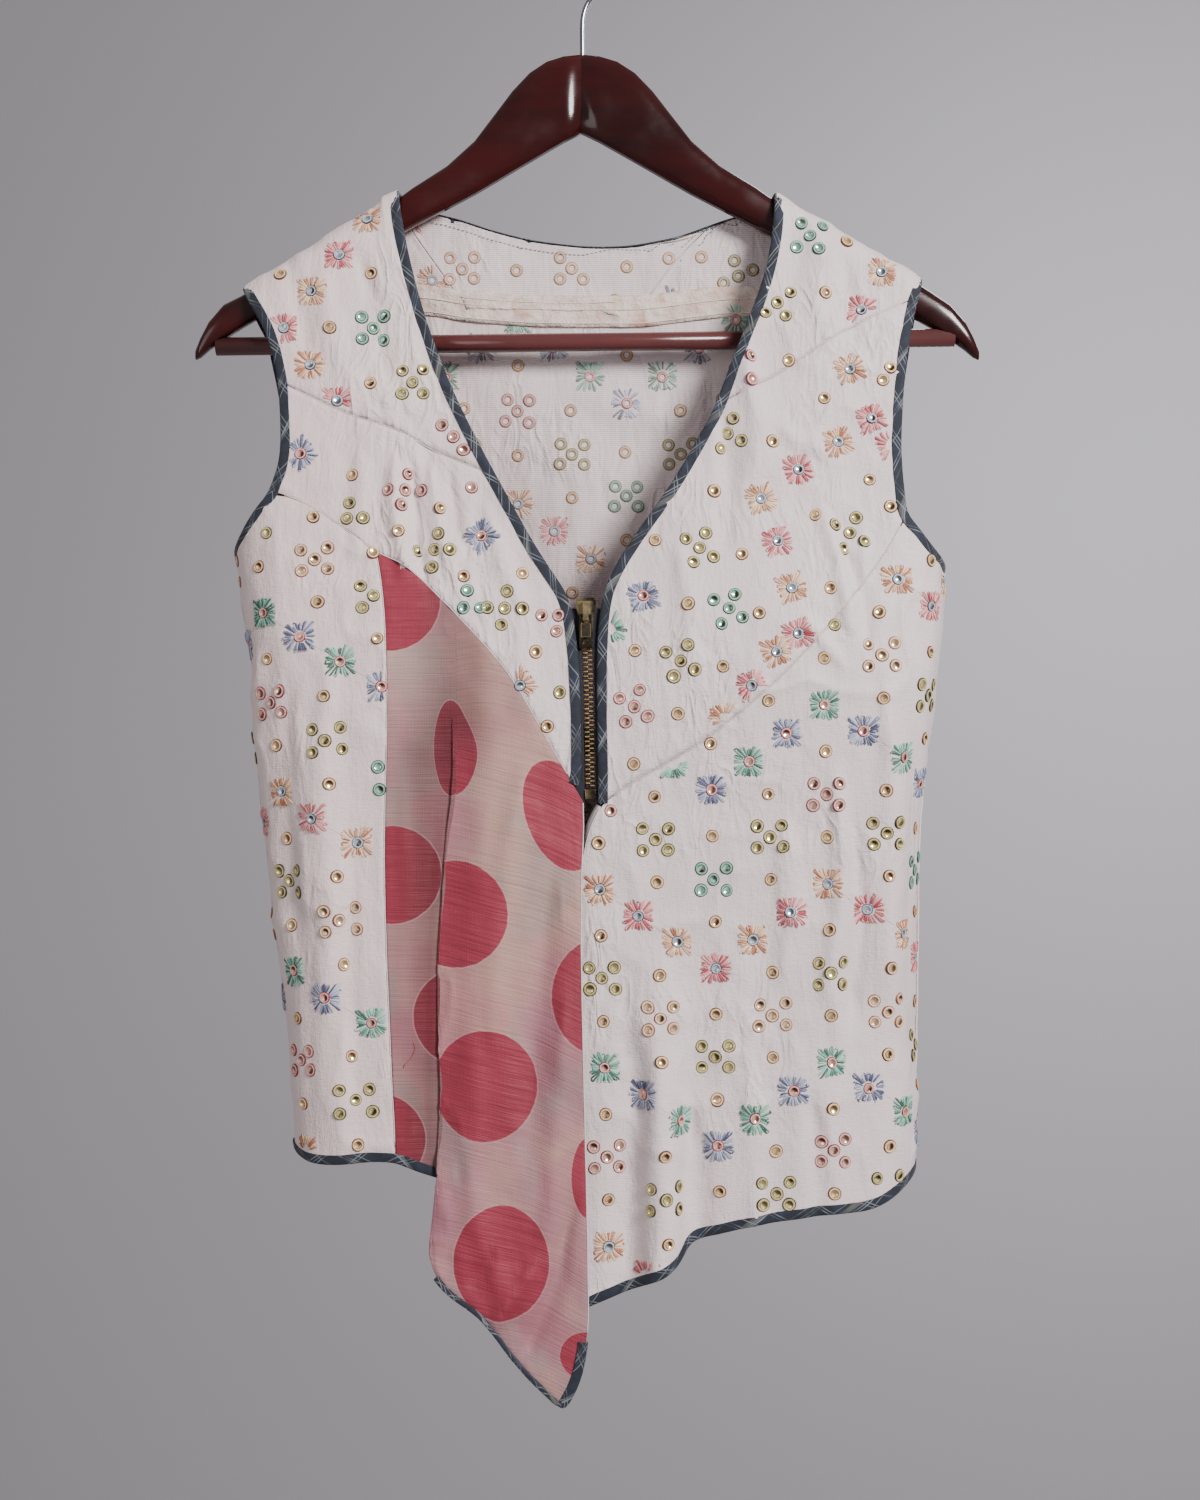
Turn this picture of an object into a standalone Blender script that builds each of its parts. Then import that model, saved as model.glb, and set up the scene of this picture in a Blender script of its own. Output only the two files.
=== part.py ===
"""Sleeveless embroidered waistcoat on a wooden clothes hanger.

Run with: blender --background --python part.py
Sizes are named in millimetres and become metres when a mesh is made. +Z is up, +X is the
wearer's left, and the front of the waistcoat faces -Y. The origin is the inside top of the
hanger's hook, where a rail carries it.
"""

import math

import bpy
import bmesh
import numpy as np

MM = 0.001  # metres in a millimetre

# Cloth, seams and bindings
WALL = 1.2
SEAM_GAP = 0.3
BINDING_WIDTH = 5.7
BINDING_WALL = 0.9
SLOT_CLEARANCE = 0.4
# where a binding turns sharply: x, y, z, how much more room it has there, and over what reach
ARM_RIGHT_EASE = ((-202.5, 0.0, -357.2, 1.2, 13.0), (-194.5, 9.8, -357.0, 1.1, 6.0))
ARM_LEFT_EASE = ((212.8, 0.0, -366.6, 1.2, 13.0), (205.0, 9.8, -367.0, 0.8, 5.0))
NECK_EASE = ((-105.5, 7.0, -154.0, 0.9, 7.0),)
TWIST_EASE = 0.35  # share of the twist between two of its sections by which a binding stands off more
BAND = 6.3  # from a bound edge to the first line of points inside it
NECK_END_TRIM = 1.6
HEM_END_TRIM = 0.9
BINDING_EDGE = BINDING_WALL + SLOT_CLEARANCE  # finished edge to the cloth inside the binding

# The flattened oval that the body hangs in: z, its right and left sides, its depths
# z, right side, left side, front depth, back depth
BODY_ROWS = (
    (-140.0, -206.0, 210.0, 12.0, 11.5),
    (-200.0, -206.0, 212.5, 15.0, 13.5),
    (-250.0, -205.5, 214.0, 20.0, 16.5),
    (-300.0, -204.5, 214.5, 26.0, 19.5),
    (-358.0, -202.5, 213.0, 33.0, 22.5),
    (-418.0, -193.4, 208.4, 38.0, 24.5),
    (-470.0, -188.2, 201.5, 39.0, 25.0),
    (-522.0, -183.0, 197.6, 37.0, 25.0),
    (-579.0, -178.0, 197.2, 36.0, 25.0),
    (-640.0, -171.5, 196.3, 36.0, 26.0),
    (-704.0, -166.7, 193.8, 37.0, 27.0),
    (-850.0, -160.0, 186.0, 38.0, 27.0),
)
SIDE_ROUND = 38.0  # how far in from a side the cloth turns away
TOP_ROUND = 14.0  # and how far down from the shoulder line

# Shoulder lines: x and z at the neck, and the drop for each millimetre outwards
RIGHT_SHOULDER = (-114.4, -152.1, 0.6197)
LEFT_SHOULDER = (117.6, -151.5, 0.5826)
RIGHT_NECK_X = -106.5
LEFT_NECK_X = 111.5
RIGHT_TIP_X = -198.4
LEFT_TIP_X = 198.0

# Finished edges and seams of the front, as x and z in turn from the wearer's right or from the top
NECK_RIGHT = ((-103.0, -172.7), (-99.1, -192.0), (-86.0, -239.7), (-70.4, -277.7), (-48.5, -317.5))
NECK_RIGHT_LOW = ((-48.5, -317.5), (-23.5, -362.2), (-5.6, -387.9))
ZIP_RIGHT = ((-5.6, -387.9), (-2.6, -396.5), (-0.5, -456.8), (0.8, -502.0))
NECK_LEFT = ((109.6, -176.0), (104.1, -206.2), (89.9, -238.7), (75.7, -277.0))
NECK_LEFT_LOW = ((75.7, -277.0), (55.0, -315.3), (20.1, -366.2), (9.6, -388.0))
ZIP_LEFT = ((9.6, -388.0), (7.2, -396.0), (8.5, -440.0), (9.2, -505.0))
ARM_RIGHT = ((-188.3, -222.0), (-180.9, -233.7), (-174.2, -262.0))
ARM_RIGHT_LOW = ((-174.2, -262.0), (-171.9, -290.0), (-172.8, -312.0), (-178.5, -326.0))
ARM_RIGHT_UNDER = ((-178.5, -326.0), (-190.0, -341.0), (-202.5, -357.2))
ARM_LEFT = ((196.0, -206.5), (193.8, -213.0))
ARM_LEFT_LOW = ((193.8, -213.0), (188.1, -236.8), (182.2, -289.0), (182.2, -318.0), (184.9, -338.0))
ARM_LEFT_UNDER = ((184.9, -338.0), (197.4, -355.4), (212.8, -366.6))
YOKE_SEAM_RIGHT = (
    (-174.2, -262.0), (-154.2, -272.0), (-131.4, -282.6), (-103.4, -291.4),
    (-85.3, -302.9), (-48.5, -317.5),
)
YOKE_SEAM_LEFT = ((75.7, -277.0), (113.4, -257.4), (139.9, -239.1), (169.3, -222.7), (193.8, -213.0))
SIDE_FRONT_SEAM = ((-178.5, -326.0), (-165.2, -328.7), (-140.1, -343.9), (-116.0, -361.7))
DIAGONAL_SEAM = (
    (-116.0, -361.7), (-98.5, -370.1), (-79.1, -388.4), (-55.2, -413.4),
    (-38.1, -434.5), (-21.2, -464.5), (0.8, -502.0),
)
PANEL_SEAM = ((-116.0, -361.7), (-112.0, -384.0), (-108.9, -435.4), (-111.4, -540.8), (-104.7, -706.0))
BUST_SEAM_LEFT = (
    (9.2, -505.0), (26.1, -493.5), (65.7, -470.3), (108.0, -435.6),
    (135.3, -407.1), (168.7, -365.9), (184.9, -338.0),
)
LEFT_FRONT_EDGE = ((9.2, -505.0), (3.5, -519.0), (-1.0, -545.0), (-5.4, -669.7), (-5.3, -790.5))
HEM_RIGHT = ((-166.7, -704.6), (-155.3, -707.3), (-141.8, -707.6), (-117.4, -705.3), (-104.7, -706.0))
HEM_LEFT = (
    (-5.3, -790.5), (24.8, -778.1), (44.0, -769.1), (51.6, -765.0), (56.8, -757.5), (63.3, -751.8),
    (95.6, -741.7), (141.5, -734.7), (161.9, -733.6), (174.0, -729.0), (193.7, -715.8),
)

# The spotted panel hangs in one deep fold: x of its outer edge, and how far it laps the strip
# z, x of the fold, how far the cloth laps back behind it, depth
FOLD_ROWS = (
    (-360.0, -76.0, -6.0, 0.0),
    (-425.0, -72.5, -6.0, 0.0),
    (-470.0, -72.0, 0.0, 0.35),
    (-530.0, -76.0, 12.0, 0.85),
    (-590.0, -80.6, 19.0, 1.0),
    (-700.0, -80.3, 21.0, 1.0),
    (-756.0, -88.1, 21.0, 1.0),
    (-850.0, -92.0, 21.0, 1.0),
)
DRAPE_EDGE_ROWS = (  # z, x of the free edge, how far it stands in front of the left front
    (-502.0, 0.8, 0.0),
    (-520.0, 1.1, 0.2),
    (-538.0, 0.2, 5.0),
    (-560.0, -0.3, 7.0),
    (-645.6, 0.9, 7.0),
    (-750.6, 3.4, 7.0),
    (-803.5, 4.0, 7.0),
)
STRIP_HEM_ROWS = ((-104.7, -706.0), (-94.0, -710.0), (-82.6, -714.1), (-60.0, -719.0), (-50.0, -720.0))
DRAPE_HEM = ((-88.1, -756.0), (-81.8, -771.3), (-71.9, -781.2), (-57.8, -789.5), (-50.9, -798.1),
             (-39.6, -815.2), (-26.9, -828.3), (-10.2, -843.9))
DRAPE_TIP = ((-10.2, -843.9), (-1.5, -836.0), (2.6, -818.7), (4.0, -803.5))
DRAPE_COLUMNS = (
    0.0, 0.5, 1.0, 1.55, 2.0, 2.5, 3.0, 3.5, 4.0, 4.5,
    5.0, 5.5, 6.0, 6.3, 6.6, 6.85, 7.1, 7.35, 7.6, 7.8, 8.0,
)
INNER_TURN = 6  # column at which the strip turns back
OUTER_TURN = 10  # column of the fold's outer edge

# Finished edges and seams of the back
BACK_NECK = (
    (-103.2, -151.8), (-97.0, -155.6), (-88.0, -157.2), (-76.7, -158.6), (-47.5, -169.5),
    (-6.7, -176.5), (13.0, -177.5), (46.3, -174.5), (76.0, -163.6),
)
BACK_NECK_LEFT = ((76.0, -163.6), (90.0, -158.6), (102.0, -156.6), (109.6, -153.2))
BACK_ARM_RIGHT = ((-193.5, -218.0), (-188.0, -230.0))
BACK_ARM_RIGHT_LOW = (
    (-188.0, -230.0), (-179.5, -262.0), (-177.2, -300.0), (-184.5, -332.0), (-202.5, -357.2),
)
BACK_ARM_LEFT = ((197.0, -213.0), (194.5, -228.0))
BACK_ARM_LEFT_LOW = ((194.5, -228.0), (189.5, -262.0), (187.5, -305.0), (193.0, -340.0), (212.8, -366.6))
BACK_SEAM_RIGHT = ((-188.0, -230.0), (-140.0, -208.5), (-97.7, -203.6), (-72.0, -207.6))
BACK_SEAM_MIDDLE = ((-72.0, -207.6), (-29.6, -210.5), (36.0, -211.0))
BACK_SEAM_LEFT = ((36.0, -211.0), (94.6, -204.5), (145.0, -209.0), (194.5, -228.0))
BACK_DIAGONAL_RIGHT = ((-106.8, -156.0), (-99.4, -169.2), (-78.0, -199.0), (-72.0, -207.6))
BACK_DIAGONAL_LEFT = ((76.0, -163.6), (50.0, -190.0), (36.0, -211.0))
HEM_BACK = ((-166.7, -704.6), (-80.0, -700.0), (0.0, -705.0), (100.0, -713.0), (193.7, -715.8))

# Soft folds of the hanging cloth: top x and z, bottom x and z, half width, height outwards
# x and z of the top, x and z of the foot, half width, height
FRONT_FOLDS = (
    (-100.0, -385.0, -100.0, -420.0, 58.0, 5.0),
    (112.0, -370.0, 108.0, -420.0, 62.0, 6.0),
    (43.0, -600.0, 46.0, -860.0, 11.0, 6.5),
    (66.0, -610.0, 66.0, -860.0, 9.0, -4.0),
    (128.0, -560.0, 132.0, -800.0, 16.0, 2.4),
    (96.0, -640.0, 92.0, -800.0, 10.0, -1.8),
    (160.0, -600.0, 158.0, -800.0, 11.0, -2.2),
    (-145.0, -520.0, -138.0, -760.0, 11.0, 2.0),
    (-122.0, -480.0, -118.0, -760.0, 9.0, -1.6),
    (-99.0, -292.0, -92.0, -335.0, 4.5, 1.6),
    (-89.0, -298.0, -80.0, -335.0, 4.5, -1.5),
    (-79.0, -303.0, -68.0, -345.0, 4.5, 1.5),
    (60.0, -330.0, 38.0, -440.0, 12.0, 1.6),
    (-50.0, -360.0, -22.0, -450.0, 10.0, 1.6),
)
BACK_FOLDS = (
    (-60.0, -300.0, -70.0, -760.0, 26.0, 4.5),
    (-10.0, -330.0, -12.0, -760.0, 18.0, -3.0),
    (45.0, -300.0, 48.0, -760.0, 24.0, 4.0),
    (95.0, -380.0, 102.0, -760.0, 18.0, -3.5),
    (140.0, -420.0, 146.0, -760.0, 16.0, 3.0),
    (-118.0, -400.0, -120.0, -760.0, 16.0, -3.0),
)
FOLD_EASE = 45.0  # length over which a fold rises and dies away

# Grid counts: cells along each shared edge
YOKE_RIGHT_CELLS = 12
YOKE_LEFT_CELLS = 10
ARM_ROWS_RIGHT = (0.0, 0.02, 0.07, 0.16, 0.33, 0.55, 0.78, 1.0)  # shares down a yoke's edges
ARM_ROWS_LEFT = (0.0, 0.08, 0.22, 0.38, 0.54, 0.7, 0.85, 1.0)
NECK_ROWS = (0.0, 0.01, 0.038, 0.085, 0.2, 0.4, 0.68, 1.0)
SIDE_FRONT_CELLS = 4
HEM_RIGHT_SHARES = (0.0, 0.02, 0.055, 0.11, 0.18, 0.28, 0.42, 0.6, 0.8, 1.0)
HEM_BACK_TURN = (0.0, 0.008, 0.03, 0.065, 0.11)
HEM_LEFT_TURN = (0.88, 0.925, 0.955, 0.975, 0.989, 0.997, 1.0)
UNDERARM_RIGHT_CELLS = 5
UNDERARM_LEFT_CELLS = 6
NECK_LOW_CELLS = 7
ZIP_CELLS = 3
SIDE_ROWS = (0.0, 0.018, 0.04, 0.07, 0.115, 0.18, 0.27, 0.37, 0.47, 0.57, 0.67, 0.77, 0.87, 0.95, 1.0)
BACK_ARM_ROWS = (0.0, 0.2, 0.4, 0.58, 0.72, 0.83, 0.91, 0.96, 0.99, 1.0)
BACK_ARM_CELLS = len(BACK_ARM_ROWS) - 1
BACK_NECK_SHARES = (0.0, 0.013, 0.03, 0.05, 0.075, 0.115, 0.19, 0.31, 0.46, 0.63, 0.81, 1.0)
BACK_NECK_CELLS = len(BACK_NECK_SHARES) - 1
NECK_TURN_CELLS = 5  # where the back neck comes round from the shoulder
BACK_NECK_LEFT_SHARES = (0.0, 0.35, 0.56, 0.7, 0.8, 0.88, 0.95, 1.0)
BACK_NECK_LEFT_CELLS = len(BACK_NECK_LEFT_SHARES) - 1
BACK_YOKE_ROWS = (0.0, 0.07, 0.18, 0.36, 0.64, 1.0)

# Hanger: distance out from the mitre, top, underside and half thickness of an arm
# how far out, z of the top, z of the underside, half thickness
ARM_ROWS = (
    (0.0, -68.7, -114.0, 6.8),
    (10.0, -69.7, -119.0, 6.8),
    (20.0, -72.8, -124.8, 6.8),
    (30.0, -79.4, -130.6, 6.8),
    (40.0, -90.0, -136.5, 6.7),
    (50.0, -103.2, -142.5, 6.6),
    (62.0, -119.0, -149.5, 6.5),
    (78.0, -133.5, -158.0, 6.5),
    (98.0, -145.5, -168.5, 6.4),
    (105.5, -149.9, -172.8, 6.4),
    (112.0, -153.9, -176.6, 6.4),
    (130.0, -165.0, -187.0, 6.4),
    (165.0, -186.5, -209.0, 6.4),
    (188.0, -200.8, -221.8, 6.3),
    (197.0, -206.5, -227.0, 6.0),
    (208.0, -214.2, -234.0, 6.2),
    (216.5, -224.0, -240.0, 5.6),
    (221.5, -233.5, -244.5, 4.2),
    (224.5, -240.5, -246.0, 2.2),
)
ARM_ROUND = 0.9
ARM_CORNERS = 12  # points round an arm's section
RIGHT_ARM_REACH = 1.0
LEFT_ARM_REACH = 1.03
MITRE_X = -0.5
MITRE_GAP = 0.3
CLOTH_REST = 3.9  # shoulder line above the wood: cloth, its binding's inner wall and a touch of air
BINDING_DIP = 1.3  # the wood's worn hollow under each binding
DIP_REACH = 7.0
BINDING_AT = (111.0, 195.0)  # how far out the bindings cross it
REST_FROM = 96.0
REST_TO = 201.0
BAR_RADIUS = 4.6
BAR_RIGHT_END = (-213.2, -238.2)
BAR_LEFT_END = (216.6, -233.0)
BAR_SOCKET = 0.3
HOOK_WIRE = 1.5
HOOK_POINTS = (
    (0.0, -86.0), (0.0, -66.0), (0.0, -50.0), (0.8, -43.5), (4.0, -36.5), (10.5, -30.5), (16.5, -25.0),
)
HOOK_RADIUS = 19.5
HOOK_MIDDLE_Z = HOOK_WIRE - HOOK_RADIUS
HOOK_CELLS = 44
HOOK_END_ANGLE = 212.0  # degrees, anticlockwise from +X, where the wire stops
HOOK_BORE = 1.8

# Zip
ZIP_TOP_Z = -387.4
CHAIN_TOP_Z = -406.7
CHAIN_FOOT_Z = -495.2
CHAIN_HALF = 3.0
CHAIN_THICK = 2.4
TAPE_REACH = 13.0
TAPE_THICK = 0.8
TAPE_FOOT_Z = -506.0
TAPE_BEHIND = 3.5  # tape's middle behind the front's outer face
STOP_HEIGHT = 5.6
SLIDER_WALL = 1.2
SLIDER_OUTLINE = (  # half width at each height of the two plates
    (-387.4, 4.4), (-389.2, 5.6), (-393.0, 5.5), (-398.5, 4.2), (-406.4, 3.9),
)
NECK_POST = (1.6, -388.6, -392.4)  # half width, top, foot
CROWN_HALF = 1.6
CROWN_TOP_Z = -389.6
CROWN_FOOT_Z = -400.6
CROWN_RISE = 3.6
CROWN_WALL = 1.1
PIVOT_Z = -397.6
TAB_BAR = 0.75
TAB_HALF = 3.7
TAB_THICK = 1.4
TAB_TOP = 0.75  # above the pivot
TAB_HOLE = (2.1, 4.4)  # half width, and how far the opening for the crown goes below the pivot
TAB_WINDOW = (1.3, 13.4, 15.6)  # half width, from and to below the pivot
TAB_LENGTH = 18.5

FRONT, BACK = -1.0, 1.0


# ---------------------------------------------------------------- curves

def hermite(rows, column):
    """A smooth function of the first column of a table."""
    table = np.array(sorted(rows), float)
    knots, values = table[:, 0], table[:, column]
    slopes = np.gradient(values, knots)

    def at(where):
        where = np.clip(np.asarray(where, float), knots[0], knots[-1])
        i = np.clip(np.searchsorted(knots, where, side="right") - 1, 0, len(knots) - 2)
        span = knots[i + 1] - knots[i]
        t = (where - knots[i]) / span
        return (
            (1 + 2 * t) * (1 - t) ** 2 * values[i]
            + t * (1 - t) ** 2 * span * slopes[i]
            + t * t * (3 - 2 * t) * values[i + 1]
            + t * t * (t - 1) * span * slopes[i + 1]
        )

    return at


def catmull(points, steps=24):
    """A dense smooth line through the points."""
    points = np.array(points, float)
    if len(points) == 2:
        return points[0] + np.linspace(0, 1, steps + 1)[:, None] * (points[1] - points[0])
    ends = np.vstack([2 * points[0] - points[1], points, 2 * points[-1] - points[-2]])
    knots = np.concatenate([[0], np.cumsum(np.sqrt(np.linalg.norm(np.diff(ends, axis=0), axis=1)))])
    line = []
    for i in range(1, len(ends) - 2):
        k0, k1, k2, k3 = knots[i - 1:i + 3]
        p0, p1, p2, p3 = ends[i - 1:i + 3]
        t = np.linspace(k1, k2, steps, endpoint=False)[:, None]
        a1 = (k1 - t) / (k1 - k0) * p0 + (t - k0) / (k1 - k0) * p1
        a2 = (k2 - t) / (k2 - k1) * p1 + (t - k1) / (k2 - k1) * p2
        a3 = (k3 - t) / (k3 - k2) * p2 + (t - k2) / (k3 - k2) * p3
        b1 = (k2 - t) / (k2 - k0) * a1 + (t - k0) / (k2 - k0) * a2
        b2 = (k3 - t) / (k3 - k1) * a2 + (t - k1) / (k3 - k1) * a3
        line.append((k2 - t) / (k2 - k1) * b1 + (t - k1) / (k2 - k1) * b2)
    return np.vstack(line + [points[-1:]])


def sampled(points, shares):
    """Points of a smooth line at these shares of its length, or that many equal cells."""
    line = catmull(points)
    if isinstance(shares, int):
        shares = np.linspace(0, 1, shares + 1)
    run = shares_of(line)
    return np.stack([np.interp(shares, run, line[:, axis]) for axis in range(line.shape[1])], axis=1)


def joined(*pieces):
    """Lines end to end, each later one without its first point."""
    return np.vstack([pieces[0]] + [piece[1:] for piece in pieces[1:]])


def halved(points):
    """The same line with a point in the middle of each cell."""
    out = np.empty((2 * len(points) - 1, points.shape[1]))
    out[::2] = points
    out[1::2] = (points[1:] + points[:-1]) / 2
    return out


# ---------------------------------------------------------------- the hanging body's form

right_side, left_side, front_depth, back_depth = (hermite(BODY_ROWS, i) for i in range(1, 5))


def shoulder_z(x):
    x = np.asarray(x, float)
    right = RIGHT_SHOULDER[1] + (x - RIGHT_SHOULDER[0]) * RIGHT_SHOULDER[2]
    left = LEFT_SHOULDER[1] - (x - LEFT_SHOULDER[0]) * LEFT_SHOULDER[2]
    return np.where(x < 0, right, left)


def turned(share):
    """Square of a quarter circle's height, flat past the end of the turn."""
    return np.where(share < 1, share * (2 - share), 1.0)


def fullness(x, z):
    """Square of the oval's share of its full depth at a place."""
    sides = turned((x - right_side(z)) / SIDE_ROUND) * turned((left_side(z) - x) / SIDE_ROUND)
    return sides * turned((shoulder_z(x) - z) / TOP_ROUND)


def folds(x, z, side):
    """How far the soft folds stand out there."""
    total = np.zeros(np.broadcast(x, z).shape)
    for top_x, top_z, foot_x, foot_z, half_width, height in FRONT_FOLDS if side < 0 else BACK_FOLDS:
        share = np.clip((z - top_z) / (foot_z - top_z), 0, 1)
        middle = top_x + share * (foot_x - top_x)
        past = np.maximum(z - top_z, foot_z - z)
        fade = np.exp(-(np.maximum(past, 0) / FOLD_EASE) ** 2)
        ease = np.clip((top_z - z + FOLD_EASE) / (2 * FOLD_EASE), 0, 1)
        fade = fade * ease * ease * (3 - 2 * ease)
        total = total + height * fade * np.exp(-(((x - middle) / half_width) ** 2))
    return total * np.clip(fullness(x, z), 0, 1)


def depth(x, z, side):
    full = (front_depth if side < 0 else back_depth)(z)
    return side * (full * np.sqrt(np.clip(fullness(x, z), 0, 1)) + folds(x, z, side))


def outside(x, y, z, side):
    """Above zero outside the body's form, so its slope gives the cloth's normal."""
    full = (front_depth if side < 0 else back_depth)(z)
    return ((y - side * folds(x, z, side)) / full) ** 2 - fullness(x, z)


def slope(points, side):
    """Which way, and how fast, the form's outside is left there."""
    x, y, z = np.moveaxis(points, -1, 0)
    h = 0.02
    rises = (
        outside(x + h, y, z, side) - outside(x - h, y, z, side),
        outside(x, y + h, z, side) - outside(x, y - h, z, side),
        outside(x, y, z + h, side) - outside(x, y, z - h, side),
    )
    return np.stack(rises, axis=-1) / (2 * h)


def lifted(flat, side):
    """Points and outward normals on the form, from x and z."""
    x, z = np.asarray(flat, float)[..., 0], np.asarray(flat, float)[..., 1]
    points = np.stack([x, depth(x, z, side), z], axis=-1)
    return points, unit(slope(points, side))


def settled(points, side):
    """Nearby points moved onto the form, with its normals there."""
    for _ in range(8):
        rise = slope(points, side)
        past = outside(*np.moveaxis(points, -1, 0), side)
        points = points - rise * (past / np.sum(rise * rise, axis=-1))[..., None]
    return points, unit(slope(points, side))


# ---------------------------------------------------------------- cloth panels

def coons(top, bottom, right, left):
    """A grid of x and z between four lines: top and bottom run across, right and left run down."""
    u_top, u_bottom, v_right, v_left = (shares_of(line) for line in (top, bottom, right, left))
    u = np.broadcast_to(u_top[None, :], (len(right), len(top)))
    for _ in range(4):
        v = (1 - u) * v_right[:, None] + u * v_left[:, None]
        u = (1 - v) * u_top[None, :] + v * u_bottom[None, :]
    u, v = u[..., None], v[..., None]
    rows = (1 - v) * top[None] + v * bottom[None]
    columns = (1 - u) * right[:, None] + u * left[:, None]
    corners = (1 - v) * ((1 - u) * top[0] + u * top[-1]) + v * ((1 - u) * bottom[0] + u * bottom[-1])
    return rows + columns - corners


def shares_of(line):
    """Each point's share of the line's length."""
    run = np.concatenate([[0], np.cumsum(np.linalg.norm(np.diff(line, axis=0), axis=1))])
    return run / run[-1]


def unit(vectors):
    return vectors / np.maximum(np.linalg.norm(vectors, axis=-1, keepdims=True), 1e-12)


def tangents(line):
    """Unit directions along a line, halving each corner."""
    steps = unit(np.diff(line, axis=0))
    return unit(np.vstack([steps[:1], steps[1:] + steps[:-1], steps[-1:]]))


def inset(points, normals, margins):
    """The grid with its edges drawn in: margins holds a width, or one for each point, for each edge."""
    moved = points.copy()
    rows, columns = points.shape[:2]
    pulls = {}
    edges = {
        "top": [(0, j) for j in range(columns)],
        "bottom": [(rows - 1, j) for j in range(columns)],
        "right": [(i, 0) for i in range(rows)],
        "left": [(i, columns - 1) for i in range(rows)],
    }
    inner = {"top": (1, 0), "bottom": (-1, 0), "right": (0, 1), "left": (0, -1)}
    for edge, cells in edges.items():
        line = np.array([points[c] for c in cells])
        along = tangents(line)
        steps = unit(np.diff(line, axis=0))
        width = np.array(np.broadcast_to(np.asarray(margins[edge], float), len(cells)))
        width[1:-1] /= np.clip(np.sum(along[1:-1] * steps[1:], axis=1), 0.55, 1)
        for cell, t, w in zip(cells, along, width):
            step = points[cell[0] + inner[edge][0], cell[1] + inner[edge][1]] - points[cell]
            inwards = unit(step - t * np.dot(step, t))
            pulls.setdefault(cell, []).append((inwards, w))
    for cell, pull in pulls.items():
        if len(pull) == 1:
            moved[cell] += pull[0][0] * pull[0][1]
        else:
            (a, wa), (b, wb) = pull
            c = float(np.dot(a, b))
            share = np.linalg.solve([[1, c], [c, 1]], [wa, wb])
            moved[cell] += a * share[0] + b * share[1]
    return moved


def across(line, along):
    """Where a line that leaves an edge has gone a binding's width from it."""
    away = line - line[0]
    away -= np.outer(away @ along, along)
    gone = np.linalg.norm(away, axis=1)
    k = int(np.argmax(gone >= BINDING_WIDTH)) if gone.max() >= BINDING_WIDTH else len(gone) - 1
    share = min(1.0, (BINDING_WIDTH - gone[k - 1]) / (gone[k] - gone[k - 1]))
    return line[0] + away[k - 1] + share * (away[k] - away[k - 1])


class Panel:
    """One cut piece: its outer face as a grid that reaches its finished edges, and its normals."""

    def __init__(self, points, normals):
        self.points, self.normals, self.beyond = points, normals, {}

    def from_edge(self, name):
        """The two grids seen with this edge as their first row."""
        flip = {
            "top": lambda grid: grid,
            "bottom": lambda grid: grid[::-1],
            "right": lambda grid: grid.transpose(1, 0, 2),
            "left": lambda grid: grid[:, ::-1].transpose(1, 0, 2),
        }[name]
        return flip(self.points), flip(self.normals)

    def band(self, name, side, first=0, last=None, narrow=0):
        """Sets the line next to a bound edge square to the edge, a little more than a binding in.

        The panel is narrower than its binding over the first narrow points.
        """
        points, normals = self.from_edge(name)
        end = points.shape[1] - 1
        last = end if last is None else last
        along = tangents(points[0])
        for k in range(max(first, 1), min(last, end - 1) + 1):
            inwards = unit(np.cross(normals[0, k], along[k]))
            inwards *= np.sign(np.dot(inwards, points[1, k] - points[0, k]))
            if k < narrow:
                self.beyond[name, k] = settled(points[0, k] + inwards * BINDING_WIDTH, side)[0]
            else:
                points[1, k], normals[1, k] = settled(points[0, k] + inwards * BAND, side)

    def edge(self, name, first=0, last=None):
        """Points and normals along an edge, and the places a binding's width inside it."""
        points, normals = self.from_edge(name)
        along = tangents(points[0])
        inside = np.array([across(points[:6, k], along[k]) for k in range(points.shape[1])])
        for (edge, k), point in self.beyond.items():
            if edge == name:
                inside[k] = point
        chosen = slice(first, None if last is None else last + 1)
        return points[0][chosen], normals[0][chosen], inside[chosen]


def sheet(name, panel, material, top=None, bottom=None, right=None, left=None):
    """The panel's wall: its outer face drawn in at the edges, and an inner face behind it."""
    seam = SEAM_GAP / 2
    margins = {"top": top, "bottom": bottom, "right": right, "left": left}
    margins = {edge: seam if width is None else width for edge, width in margins.items()}
    outer = inset(panel.points, panel.normals, margins)
    inner = outer - panel.normals * WALL
    rows, columns = outer.shape[:2]
    bm = bmesh.new()
    faces = [[[bm.verts.new(p * MM) for p in row] for row in side] for side in (outer, inner)]
    for i in range(rows - 1):
        for j in range(columns - 1):
            for side in faces:
                bm.faces.new((side[i][j], side[i][j + 1], side[i + 1][j + 1], side[i + 1][j]))
    border = [(0, j) for j in range(columns)] + [(i, columns - 1) for i in range(1, rows)]
    border += [(rows - 1, j) for j in range(columns - 2, -1, -1)] + [(i, 0) for i in range(rows - 2, 0, -1)]
    for (i, j), (k, m) in zip(border, border[1:] + border[:1]):
        bm.faces.new((faces[0][i][j], faces[0][k][m], faces[1][k][m], faces[1][i][j]))
    return finished(name, bm, material)


def finished(name, bm, material, smooth=True):
    """A closed mesh object from bmesh, its faces turned outwards."""
    bmesh.ops.recalc_face_normals(bm, faces=bm.faces)
    mesh = bpy.data.meshes.new(name)
    bm.to_mesh(mesh)
    bm.free()
    if smooth:
        mesh.shade_smooth()
        mesh.set_sharp_from_angle(angle=math.radians(40))
    return placed(name, mesh, material)


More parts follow.
